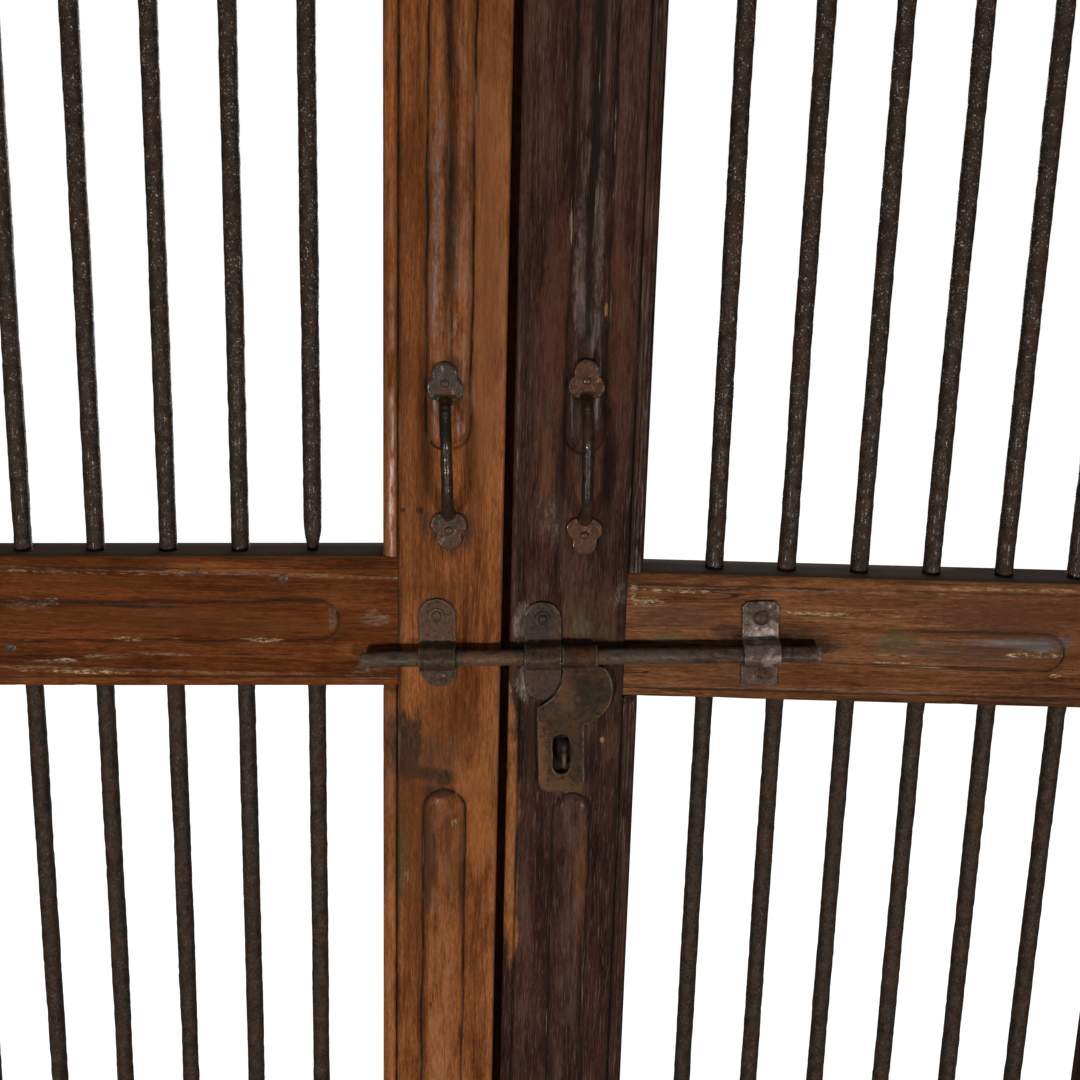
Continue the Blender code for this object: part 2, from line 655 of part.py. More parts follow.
def make_bolt(body):
    """Straight round bolt with chamfered ends, thrown across both leaves."""
    radius = BOLT_RADIUS
    start, end = -BOLT_THROW, BOLT_LENGTH - BOLT_THROW
    profile = [
        (radius - BOLT_CHAMFER, start), (radius, start + BOLT_CHAMFER),
        (radius, end - BOLT_CHAMFER), (radius - BOLT_CHAMFER, end),
    ]
    shape = turned(profile, BOLT_SIDES, lambda a, b, u: on_bolt(u, a, BOLT_STANDOFF + b))
    piece("bolt", shape, DARK_IRON, body)


def hasp_outline():
    """Hasp plate as (along, up): hollow beside the middle staple, bulging on the right, slim below."""
    hollow = (HASP_EYE_START - HASP_HOLLOW_RADIUS, HASP_HOLLOW_DROP)
    hollow_end = math.degrees(math.acos((HASP_LEFT - hollow[0]) / HASP_HOLLOW_RADIUS))
    bulge = (HASP_BULGE_REACH - HASP_BULGE_RADIUS, HASP_BULGE_DROP)
    bulge_end = math.degrees(math.acos((HASP_RIGHT - bulge[0]) / HASP_BULGE_RADIUS))
    shoulder = HASP_EYE_WALL + BOLT_RADIUS + RUN_CLEARANCE
    bulge_start = -math.degrees(math.asin((HASP_BULGE_DROP - shoulder - HASP_EYE_WALL) / HASP_BULGE_RADIUS))
    points = [(HASP_EYE_START, 0.0)]
    points += arc(hollow, HASP_HOLLOW_RADIUS, 0, hollow_end, ARC_STEPS)
    points += arc((HASP_LEFT + HASP_CORNER, HASP_DROP - HASP_CORNER), HASP_CORNER, 180, 90, BEND_STEPS)
    points += arc((HASP_RIGHT - HASP_CORNER, HASP_DROP - HASP_CORNER), HASP_CORNER, 90, 0, BEND_STEPS)
    points += arc(bulge, HASP_BULGE_RADIUS, bulge_end, bulge_start, ARC_STEPS)
    points += [(HASP_EYE_END, shoulder), (HASP_EYE_END, 0.0)]
    return [(along, -drop) for along, drop in points]


def make_hasp(body):
    """Plate with a slot, forged to an eye that wraps the bolt."""
    back, front = HASP_OFF_FACE, HASP_OFF_FACE + HASP_THICKNESS
    hasp = piece("hasp", prism(hasp_outline(), back, front, on_bolt), HASP_IRON, body)

    def around_bolt(a, b, u):
        return on_bolt(u, a, BOLT_STANDOFF + b)

    bore = BOLT_RADIUS + FIT
    wrap = circle(bore + HASP_EYE_WALL, BOLT_SIDES)
    work(hasp, [prism(wrap, HASP_EYE_START, HASP_EYE_END, around_bolt)], "UNION")
    ends = (HASP_EYE_START - OVERRUN, HASP_EYE_END + OVERRUN)
    work(hasp, [prism(circle(bore, BOLT_SIDES), ends[0], ends[1], around_bolt)], "DIFFERENCE")
    radius = HASP_SLOT_WIDTH / 2
    slot = stadium(HASP_SLOT_HEIGHT / 2 - radius, radius, BEND_STEPS)
    slot_along = (HASP_LEFT + HASP_RIGHT) / 2
    limits = (back - SINK, front + OVERRUN)
    work(hasp, [prism(slot, limits[0], limits[1], lambda a, b, out: on_bolt(
        slot_along + b, a - HASP_SLOT_DROP, out))], "DIFFERENCE")


def make_padlock_eye(leaf, stile):
    """Bent wire staple driven into the stile, standing through the hasp's slot."""
    along = (HASP_LEFT + HASP_RIGHT) / 2 + EYE_SIDE
    half = EYE_HEIGHT / 2
    crown = HASP_OFF_FACE + HASP_THICKNESS + EYE_CLEAR + EYE_WIRE / 2
    bend = arc((0.0, crown - half), half, 0, 180, ARC_STEPS)
    profile = [(half, -EYE_DEPTH)] + bend + [(-half, -EYE_DEPTH)]
    path = [Vector(on_bolt(along, up - HASP_SLOT_DROP, out)) for up, out in profile]
    across = Vector((math.cos(BOLT_TILT), 0.0, math.sin(BOLT_TILT)))
    piece("padlock_eye", tube(path, EYE_WIRE / 2, ROD_SIDES, across), DARK_IRON, leaf.body)
    holes = []
    for up in (half, -half):
        outline = circle(EYE_WIRE / 2 + FIT, ROD_SIDES)
        holes.append(prism(outline, -EYE_DEPTH - FIT, OVERRUN, lambda a, b, out: on_bolt(
            along + a, up - HASP_SLOT_DROP + b, out)))
    work(stile, holes, "DIFFERENCE")


def make_cover_strip(leaf):
    """Thin strip nailed behind the left meeting stile, closing the gap against the right leaf."""
    start, end = -(MEETING_GAP / 2 + COVER_LAP), COVER_WIDTH - MEETING_GAP / 2 - COVER_LAP
    near, far = THICKNESS + FIT, THICKNESS + FIT + COVER_THICKNESS
    outline = [(start, near), (end, near), (end, far - COVER_CHAMFER), (end - COVER_CHAMFER, far),
               (start + COVER_CHAMFER, far), (start, far - COVER_CHAMFER)]
    foot, head = COVER_END_GAP, LEAF_HEIGHT - COVER_END_GAP
    shape = prism(outline, foot, head, lambda u, depth, z: (leaf.x(u), FACE_Y + depth, z))
    piece("cover_strip", shape, leaf.stile_finish, leaf.body)


def make_frame(leaf, meeting_edge, lock_band):
    """Two stiles and three rails."""
    meeting = make_stile(leaf, "meeting_stile", leaf.meeting_edge, leaf.opening_start, meeting_edge,
                         leaf.band_u, leaf.band_width)
    hanging_middle = (leaf.opening_end + leaf.hinge_edge) / 2
    plain = [(0.0, 0.0), (ARRIS, ARRIS)]
    hanging = make_stile(leaf, "hanging_stile", leaf.hinge_edge, leaf.opening_end, plain,
                         hanging_middle, leaf.band_width)
    even = (RAIL_BAND_INSET, RAIL_BAND_INSET)
    make_rail(leaf, "top", even)
    lock = make_rail(leaf, "lock", lock_band)
    make_rail(leaf, "bottom", even)
    return meeting, hanging, lock


for old in list(bpy.data.objects):
    bpy.data.objects.remove(old)

left = Leaf("left", -1, LEFT_MEETING_STILE, LEFT_HANGING_STILE, LEFT_BAND_WIDTH, LEFT_BAND_OFFSET,
            (WARM_TEAK, WARM_TEAK))
right = Leaf("right", 1, RIGHT_MEETING_STILE, RIGHT_HANGING_STILE, RIGHT_BAND_WIDTH, RIGHT_BAND_OFFSET,
             (DARK_TEAK, BROWN_TEAK))
jamb_body = carrier("jamb_plates", (MEETING_X, FACE_Y, 0.0))
bolt_body = carrier("bolt_axis", on_bolt(0.0, 0.0, BOLT_STANDOFF), right.body, BOLT_TILT)
hasp_body = carrier("hasp_axis", on_bolt(HASP_EYE_START, 0.0, BOLT_STANDOFF), bolt_body, BOLT_TILT)

left_meeting, left_hanging, left_lock = make_frame(
    left, [(0.0, 0.0), (ARRIS, ARRIS)], (RAIL_BAND_INSET, RAIL_BAND_INSET))
right_meeting, right_hanging, right_lock = make_frame(
    right, moulded_edge(MEETING_BEAD, MEETING_ROLL), (LOCK_BAND_INSET, LOCK_BAND_END))
for leaf, hanging_stile in ((left, left_hanging), (right, right_hanging)):
    make_bars(leaf)
    make_handle(leaf)
    make_hinges(leaf, hanging_stile, jamb_body)
make_cover_strip(left)
make_staple("left_staple", LEFT_STAPLE, LEFT_STAPLE_RISE, LEFT_STAPLE_FALL, False, 0.0, left, DARK_IRON,
            [left_meeting, left_lock])
make_staple("middle_staple", MIDDLE_STAPLE, MIDDLE_STAPLE_RISE, MIDDLE_STAPLE_FALL, False, 0.0, right,
            DARK_IRON, [right_meeting])
make_staple("right_staple", RIGHT_STAPLE, RIGHT_STAPLE_RISE, RIGHT_STAPLE_FALL, True, -RAIL_SETBACK, right,
            WORN_IRON, [right_lock])
make_bolt(bolt_body)
make_hasp(hasp_body)
make_padlock_eye(right, right_meeting)
for made in bpy.context.scene.objects:
    if made.type == "MESH":
        smooth(made)
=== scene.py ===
"""Framed teak doors with iron bars, pull handles and a sliding bolt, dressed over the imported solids."""
import math

import bmesh
import bpy
import numpy as np
from mathutils import Matrix, Vector


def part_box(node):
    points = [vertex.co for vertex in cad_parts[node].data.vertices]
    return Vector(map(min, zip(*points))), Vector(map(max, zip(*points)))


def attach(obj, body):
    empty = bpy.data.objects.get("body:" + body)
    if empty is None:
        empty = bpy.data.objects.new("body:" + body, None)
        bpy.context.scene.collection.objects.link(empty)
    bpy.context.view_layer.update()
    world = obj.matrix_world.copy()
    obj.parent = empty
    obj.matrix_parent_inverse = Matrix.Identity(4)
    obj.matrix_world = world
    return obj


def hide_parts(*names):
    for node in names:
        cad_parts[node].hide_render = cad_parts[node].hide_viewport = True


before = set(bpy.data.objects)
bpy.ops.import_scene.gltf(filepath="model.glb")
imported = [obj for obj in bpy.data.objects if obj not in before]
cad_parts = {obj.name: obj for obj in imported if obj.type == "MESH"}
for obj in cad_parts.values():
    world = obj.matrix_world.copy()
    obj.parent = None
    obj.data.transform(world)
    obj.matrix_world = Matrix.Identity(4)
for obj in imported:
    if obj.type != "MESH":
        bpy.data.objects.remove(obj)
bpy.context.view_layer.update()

# The setting: a pale floor that brightens to the white surround, and two soft lamps low in front of the
# doors, so that the bolt and the handles throw their shadows upward and to both sides. Weak lamps fill
# the rest.


class Value:
    """Output of a node. Sums, differences and products of such values add Math nodes to its tree."""

    def __init__(self, socket):
        self.socket = socket

    def maths(self, operation, first, second):
        tree = self.socket.id_data
        node = tree.nodes.new("ShaderNodeMath")
        node.operation = operation
        for place, term in enumerate((first, second)):
            if isinstance(term, Value):
                tree.links.new(term.socket, node.inputs[place])
            else:
                node.inputs[place].default_value = term
        return Value(node.outputs[0])

    def __add__(self, other):
        return self.maths("ADD", self, other)

    def __radd__(self, other):
        return self.maths("ADD", other, self)

    def __sub__(self, other):
        return self.maths("SUBTRACT", self, other)

    def __rsub__(self, other):
        return self.maths("SUBTRACT", other, self)

    def __mul__(self, other):
        return self.maths("MULTIPLY", self, other)

    def __rmul__(self, other):
        return self.maths("MULTIPLY", other, self)


class Finish:
    """Node tree of a material or of the surround while it is put together."""

    def __init__(self, owner):
        self.owner = owner
        owner.use_nodes = True
        self.tree = owner.node_tree

    def feed(self, socket, term):
        if isinstance(term, Value):
            self.tree.links.new(term.socket, socket)
        elif isinstance(term, tuple) and len(term) == 3 and socket.type == "RGBA":
            socket.default_value = (*term, 1.0)
        else:
            socket.default_value = term

    def node(self, kind, settings, inputs, output=0):
        """Any node by its type: its settings first, then the values or links of its sockets."""
        made = self.tree.nodes.new("ShaderNode" + kind)
        for setting, choice in settings.items():
            if setting == "stops":
                elements = made.color_ramp.elements
                while len(elements) < len(choice):
                    elements.new(1.0)
                for element, (position, colour) in zip(elements, choice):
                    element.position = position
                    element.color = (*colour, 1.0)
            else:
                setattr(made, setting, choice)
        for socket, term in inputs.items():
            self.feed(made.inputs[socket], term)
        return Value(made.outputs[output])

    def place(self):
        return self.node("TexCoord", {}, {}, "Object")

    def speckle(self, vector, scale, detail=3.0, roughness=0.55):
        terms = {"Vector": vector, "Scale": scale, "Detail": detail, "Roughness": roughness}
        return self.node("TexNoise", {}, terms)

    def mask(self, value, low, high):
        """0 below low, 1 above high, eased between."""
        terms = {"Value": value, "From Min": low, "From Max": high}
        return self.node("MapRange", {"interpolation_type": "SMOOTHSTEP"}, terms)

    def mix(self, share, first, second, kind="MIX"):
        settings = {"data_type": "RGBA", "blend_type": kind}
        return self.node("Mix", settings, {0: share, 6: first, 7: second}, 2)

    def mark(self, name):
        return self.node("Attribute", {"attribute_name": name}, {}, "Fac")

    def cover(self, place, centre, reach, ragged):
        """1 about a centre, down to 0 at its reach along each axis; ragged shifts that edge in and out."""
        away = self.node("VectorMath", {"operation": "SUBTRACT"}, {0: place, 1: centre})
        scaled = self.node("VectorMath", {"operation": "DIVIDE"}, {0: away, 1: reach})
        distance = self.node("VectorMath", {"operation": "LENGTH"}, {0: scaled}, "Value")
        return 1.0 - self.mask(distance + ragged, 0.45, 1.0)

    def surface(self, **terms):
        shader = self.tree.nodes["Principled BSDF"]
        for socket, term in terms.items():
            self.feed(shader.inputs[socket.replace("_", " ")], term)
        return self.owner


def linked(name, data):
    made = bpy.data.objects.new(name, data)
    bpy.context.scene.collection.objects.link(made)
    return made


def pale_floor():
    """Pale matt floor that brightens to white away from the doors."""
    finish = Finish(bpy.data.materials.new("pale_floor"))
    place = finish.place()
    cloud = finish.speckle(place, 1.5)
    colour = finish.mix(cloud, (0.62, 0.62, 0.61), (0.68, 0.68, 0.67))
    distance = finish.node("VectorMath", {"operation": "LENGTH"}, {0: place}, "Value")
    glow = finish.mix(finish.mask(distance, 0.1, 1.1), (0.35, 0.35, 0.35), (1.0, 1.0, 1.0))
    return finish.surface(Base_Color=colour, Roughness=0.9, Emission_Color=glow, Emission_Strength=1.0)


FLOOR_DROP = 0.002
FLOOR_REACH = 40.0
floor_mesh = bpy.data.meshes.new("floor")
floor_corners = ((-1, -1), (1, -1), (1, 1), (-1, 1))
floor_points = [(x * FLOOR_REACH, y * FLOOR_REACH, -FLOOR_DROP) for x, y in floor_corners]
floor_mesh.from_pydata(floor_points, [], [(0, 1, 2, 3)])
floor_mesh.materials.append(pale_floor())
floor = linked("floor", floor_mesh)

SURROUND_LIGHT = 0.05
surround = Finish(bpy.data.worlds.new("surround"))
bpy.context.scene.world = surround.owner
seen = surround.node("Background", {}, {"Color": (1.0, 1.0, 1.0)})
lighting = surround.node("Background", {}, {"Color": (1.0, 0.985, 0.96), "Strength": SURROUND_LIGHT})
to_camera = surround.node("LightPath", {}, {}, "Is Camera Ray")
choice = surround.node("MixShader", {}, {0: to_camera, 1: lighting, 2: seen})
surround.feed(surround.tree.nodes["World Output"].inputs["Surface"], choice)

# Most lamps leave the floor out, and the floor's own glow falls on the floor alone.
beside_floor = bpy.data.collections.new("beside_floor")
beside_floor.objects.link(floor)
beside_floor.collection_objects[0].light_linking.link_state = "EXCLUDE"
floor_alone = bpy.data.collections.new("floor_alone")
floor_alone.objects.link(floor)
floor.light_linking.receiver_collection = floor_alone


def lamp(name, location, target, size, power, on_floor=False):
    """Round soft lamp aimed at a point. Most of the lamps leave the floor to the one above the doors."""
    light = bpy.data.lights.new(name, "AREA")
    light.shape = "DISK"
    light.size = size
    light.energy = power
    made = linked(name, light)
    made.location = location
    made.rotation_euler = (Vector(target) - Vector(location)).to_track_quat("-Z", "Y").to_euler()
    made.visible_camera = False
    if not on_floor:
        made.light_linking.receiver_collection = beside_floor


MIDDLE_OF_LOCK = (0.0, 0.0, 1.0)
lamp("left_low_lamp", (-1.15, -2.5, 0.42), MIDDLE_OF_LOCK, 0.32, 52.0)
lamp("right_low_lamp", (1.15, -2.5, 0.42), MIDDLE_OF_LOCK, 0.32, 52.0)
lamp("front_fill", (0.0, -4.2, 1.7), MIDDLE_OF_LOCK, 1.6, 8.0)
lamp("back_fill", (0.6, 3.6, 1.3), MIDDLE_OF_LOCK, 2.5, 105.0)
lamp("lamp_above", (0.0, -0.3, 4.6), MIDDLE_OF_LOCK, 4.0, 65.0, on_floor=True)

CAMERA_PLACE = (0.02383, -1.18774, 1.38347)
CAMERA_PITCH, CAMERA_YAW, CAMERA_ROLL = (math.radians(angle) for angle in (15.451, 0.085, 1.55))
FOCAL_PIXELS, PICTURE_PIXELS = 1567.74, 1080
level_share = math.cos(CAMERA_PITCH)
forward = Vector((
    math.sin(CAMERA_YAW) * level_share, math.cos(CAMERA_YAW) * level_share, -math.sin(CAMERA_PITCH)))
level_right = Vector((math.cos(CAMERA_YAW), -math.sin(CAMERA_YAW), 0.0))
level_up = level_right.cross(forward)
camera_right = level_right * math.cos(CAMERA_ROLL) + level_up * math.sin(CAMERA_ROLL)
camera_up = level_up * math.cos(CAMERA_ROLL) - level_right * math.sin(CAMERA_ROLL)
camera_data = bpy.data.cameras.new("camera")
camera_data.sensor_width = 36.0
camera_data.lens = FOCAL_PIXELS / PICTURE_PIXELS * camera_data.sensor_width
camera = linked("camera", camera_data)
turn = Matrix((camera_right, camera_up, -forward)).transposed().to_4x4()
camera.matrix_world = Matrix.Translation(CAMERA_PLACE) @ turn
bpy.context.scene.camera = camera
bpy.context.scene.view_settings.view_transform = "Standard"

# The stiles: four uprights of old oiled teak, 45 mm thick. Raised bands with round ends stand on their
# faces, and the edge along the bars is worked to a groove and a rolled bead. The right meeting stile has
# a second bead at the gap, which is worn away higher up.
FACE_Y = -0.00765
THICKNESS = 0.045
LEAF_HEIGHT = 2.03
MEETING_EDGE = 0.0035
RAIL_SPANS = {"bottom": (0.0, 0.16), "lock": (0.928, 1.032), "top": (1.925, 2.03)}
FIT = 0.0003
STILE_MOULDING, STILE_ROLL, RAIL_ROLL = 0.0125, 0.006, 0.004
GROOVE_WIDTH, GROOVE_DEPTH = 0.0016, 0.0022
BEAD_DROP = 0.0006
REED_WIDTH, REED_DEPTH = 0.0005, 0.0006
BACK_ARRIS = 0.002
BAND_HEIGHT, BAND_ROUND = 0.0035, 0.009
BAND_LINE, BAND_SHADE, BAND_SHADE_OUT = 1.4, 0.0010, 0.0007
BAND_RAGGED = 0.0004, (0.02, 1.0, 0.05)
VALLEY_DEPTH, VALLEY_RUN, VALLEY_WIDTH = 0.0030, 0.15, 0.26
GROOVE_SHADE, SHOULDER_SHADE, ARRIS_WEAR = 0.0014, 0.0012, 0.003
BACK_COLUMNS, BACK_SETBACK = 8, 0.0002
PLANE_MARKS = 0.00022, (0.04, 1.0, 0.22)
RAISED_GRAIN = 0.00010, (0.007, 1.0, 0.09)
BACK_MARKS = 0.00015, (0.05, 1.0, 0.25)
NICK_DEPTH, NICK_REACH = 0.0016, 0.0022
SUNK_LOW, SUNK_GROWTH = 0.0013, 0.0045
SUNK_SLOPE, SUNK_LEVEL = 0.0285, 0.26
COLUMN_STEP, ROW_STEP = 0.0028, 0.009
PLAIN_ARRIS, MEETING_ARRIS = 0.0026, 0.003
FADE_FROM, FADE_RUN, FADE_SHARE = 0.85, 0.25, 0.8
BEAD_STEP, BEAD_EASE, BEAD_ROWS = 0.002, 0.006, 6
STAIN_DEPTH = 0.02
SWELL_WAVES = 20
CLOSEST = 0.00025


def swell(points, pitch, seed):
    """Smooth unevenness of about unit height; pitch is its size along each axis, in metres."""
    draw = np.random.default_rng(seed)
    waves = draw.normal(size=(SWELL_WAVES, 3)) * 4.0 / np.asarray(pitch)
    starts = draw.uniform(0.0, 2 * math.pi, SWELL_WAVES)
    total = np.zeros(points.shape[:-1])
    for wave, start in zip(waves, starts):
        total += np.sin(points @ wave + start)
    return total / math.sqrt(SWELL_WAVES / 2)


def spot_at(across, along, depth=0.0):
    """Points of a timber as swell takes them."""
    return np.stack(np.broadcast_arrays(across, depth, along), axis=-1)


class Form:
    """Mesh under construction. Each point carries two marks: how hollow and how worn the surface is."""

    def __init__(self):
        self.points = []
        self.marks = []
        self.faces = []
        self.count = 0

    def loft(self, rings, hollow=None, worn=None, closed=False):
        """Skin through rings of equally many points, rows x points x 3. It has end caps unless closed."""
        rows, around = rings.shape[:2]
        marks = np.zeros((rows, around, 2))
        if hollow is not None:
            marks[:, :hollow.shape[1], 0] = hollow
        if worn is not None:
            marks[:, :worn.shape[1], 1] = worn
        index = self.count + np.arange(rows * around).reshape(rows, around)
        corners = [index, np.roll(index, -1, axis=1)]
        corners += [np.roll(corner, -1, axis=0) for corner in corners[::-1]]
        quads = np.stack(corners, axis=-1)
        caps = [] if closed else [index[0, ::-1].tolist(), index[-1].tolist()]
        self.faces += quads[:rows if closed else -1].reshape(-1, 4).tolist() + caps
        self.points.append(rings.reshape(-1, 3))
        self.marks.append(marks.reshape(-1, 2))
        self.count += rows * around

    def mesh(self, name):
        made = bpy.data.meshes.new(name)
        made.from_pydata(np.concatenate(self.points).tolist(), [], self.faces)
        marks = np.concatenate(self.marks)
        for column, mark in enumerate(("hollow", "worn")):
            layer = made.attributes.new(mark, "FLOAT", "POINT")
            layer.data.foreach_set("value", marks[:, column].astype(np.float32))
        whole = bmesh.new()
        whole.from_mesh(made)
        bmesh.ops.recalc_face_normals(whole, faces=whole.faces)
        whole.to_mesh(made)
        whole.free()
        made.shade_smooth()
        made.set_sharp_from_angle(angle=math.radians(50))
        return made


def dress(name, shape, material, body, slot, nodes=()):
    """Piece of the doors: it moves with a body, takes a finish and may stand for solids."""
    mesh = shape.mesh(name) if isinstance(shape, Form) else shape
    mesh.materials.clear()
    mesh.materials.append(material)
    made = linked(name, mesh)
    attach(made, body)
    if nodes:
        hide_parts(*nodes)


def eased(share):
    share = np.clip(share, 0.0, 1.0)
    return share * share * (3.0 - 2.0 * share)


def stations(start, end, step, extra=()):
    """Sorted places from start to end, about a step apart, with the extra ones among them."""
    low, high = min(start, end), max(start, end)
    plain = np.linspace(low, high, max(2, int(math.ceil((high - low) / step)) + 1))
    kept = [low]
    for place in sorted([*plain[1:-1], *extra]):
        if place - kept[-1] > CLOSEST and high - place > CLOSEST:
            kept.append(place)
    return np.array(kept + [high])


def bead(inward, width, roll, reeds=(), ditch=GROOVE_DEPTH):
    """Depth, hollow and worn marks of a groove and bead; inward is the distance from the edge."""
    past = width - inward
    across = np.clip((past - GROOVE_WIDTH) / (width - GROOVE_WIDTH), 0.0, 1.0)
    rolled = BEAD_DROP + (roll - BEAD_DROP) * (1.0 - np.sqrt(1.0 - across ** 2))
    groove = ditch * np.sin(np.clip(past / GROOVE_WIDTH, 0.0, 1.0) * math.pi) ** 0.5
    depth = np.where(past <= 0.0, 0.0, np.where(past < GROOVE_WIDTH, groove, rolled))
    hollow = np.exp(-((past - GROOVE_WIDTH / 2) / GROOVE_SHADE) ** 2)
    worn = np.where(past > GROOVE_WIDTH, np.sin(across * math.pi) ** 2, 0.0)
    for reed in reeds:
        line = np.exp(-((past - reed) / REED_WIDTH) ** 2)
        depth = depth + REED_DEPTH * line
        hollow = np.maximum(hollow, 0.8 * line)
        worn = worn * (1.0 - line)
    return depth, hollow, worn


def bead_places(edge, inwards, width, reeds=()):
    """Columns that a groove and bead need, from the edge inwards (+1 or -1)."""
    roll_width = width - GROOVE_WIDTH
    rolled = [roll_width - roll_width * math.sin(math.radians(angle)) for angle in range(0, 90, 9)]
    ditch = [width - GROOVE_WIDTH * share for share in (-0.35, 0.04, 0.25, 0.5, 0.75, 0.96)]
    lines = [width - reed + REED_WIDTH * share for reed in reeds for share in (-1.6, -0.8, 0.0, 0.8, 1.6)]
    return [edge + inwards * place for place in rolled + ditch + lines]


def round_arris(inward, radius):
    """Depth of a rounded edge."""
    share = np.clip(inward / radius, 0.0, 1.0)
    return radius * (1.0 - np.sqrt(1.0 - (1.0 - share) ** 2))


class Band:
    """Raised band with round ends on a timber's face; where it has a valley, it is worked as two reeds."""

    def __init__(self, middle, width, start, end, valley_from=None, worn_start=None):
        self.middle = middle
        self.half = width / 2
        self.start = start
        self.end = end
        self.valley_from = valley_from
        self.worn_start = worn_start

    def columns(self):
        inside = self.middle + self.half * np.linspace(-1.0, 1.0, 27)
        lips = [self.middle + side * (self.half + out) for side in (-1, 1) for out in (0.0005, 0.0014)]
        return [*inside, *lips]

    def rows(self):
        steps = np.linspace(-0.003, self.half + 0.002, 17)
        return [*(self.start + steps), *(self.end - steps)]

    def relief(self, across, along, seed):
        """Height above the face, with the hollow and worn marks."""
        spot = spot_at(across, along)
        nearest = np.clip(along, self.start + self.half, self.end - self.half)
        uneven, pitch = BAND_RAGGED
        ragged = uneven * swell(spot, pitch, seed)
        inside = self.half - np.hypot(across - self.middle, along - nearest) + ragged
        ease = np.clip(inside / BAND_ROUND, 0.0, 1.0)
        height = BAND_HEIGHT * np.sqrt(1.0 - (1.0 - ease) ** 2)
        hollow = np.exp(-((inside + BAND_SHADE_OUT) / BAND_SHADE) ** 2)
        worn = eased(ease * 1.6 - 0.4)
        if self.valley_from is not None:
            run = eased((along - self.start - self.valley_from) / VALLEY_RUN)
            drift = swell(spot * (0, 0, 1), (1.0, 1.0, 0.25), seed + 1)
            wander = self.middle + self.half * (0.12 + 0.10 * drift)
            valley = run * np.exp(-((across - wander) / (self.half * VALLEY_WIDTH)) ** 2)
            height = height - VALLEY_DEPTH * valley * (inside > 0)
            hollow = np.maximum(hollow, valley * 0.75)
            worn = worn * (1.0 - valley)
        if self.worn_start:
            left = 0.2 + 0.8 * eased((along - self.start) / self.worn_start)
            height, hollow, worn = height * left, hollow * left, worn * left
        return height, hollow, worn


def plank(form, columns, rows, front, hollow, worn, place, seed):
    """Closed timber: worked front, plain sides and back. place(across, depth, along) gives points."""
    across, along = np.meshgrid(columns, rows)
    for number, (height, pitch) in enumerate((PLANE_MARKS, RAISED_GRAIN)):
        front = front + height * swell(spot_at(across, along), pitch, seed + number)
    arris = THICKNESS - BACK_ARRIS
    down = front[:, -1:] + (arris - front[:, -1:]) * np.array([0.3, 0.65, 1.0])
    rise = arris + (front[:, :1] - arris) * np.array([0.0, 0.35, 0.7])
    back = np.linspace(columns[-1] - BACK_ARRIS, columns[0] + BACK_ARRIS, BACK_COLUMNS)
    behind = np.broadcast_to(back, (len(rows), BACK_COLUMNS))
    height, pitch = BACK_MARKS
    uneven = height * swell(spot_at(behind, rows[:, None], 1.0), pitch, seed + 2)
    sides = np.full_like(down, columns[-1]), np.full_like(rise, columns[0])
    aside = np.concatenate([across, sides[0], behind, sides[1]], axis=1)
    depth = np.concatenate([front, down, THICKNESS - BACK_SETBACK + uneven, rise], axis=1)
    along = np.broadcast_to(rows[:, None], aside.shape)
    form.loft(np.stack(place(aside, depth, along), axis=-1), hollow, worn)


def nicked(depth, inward, along, seed):
    """Small knocks along an edge."""
    knock = np.clip(swell(spot_at(0.0, along), (1.0, 1.0, 0.03), seed) - 1.15, 0.0, 1.0)
    return depth + NICK_DEPTH * knock * np.exp(-inward / NICK_REACH)


def settled(side, z, u):
    """Height of a point of a lock rail, u from the gap. The left rail has sunk and is a little taller."""
    if side > 0:
        return z
    low, high = RAIL_SPANS["lock"]
    return z - SUNK_LOW + SUNK_GROWTH * (z - low) / (high - low) + SUNK_SLOPE * (SUNK_LEVEL - u)


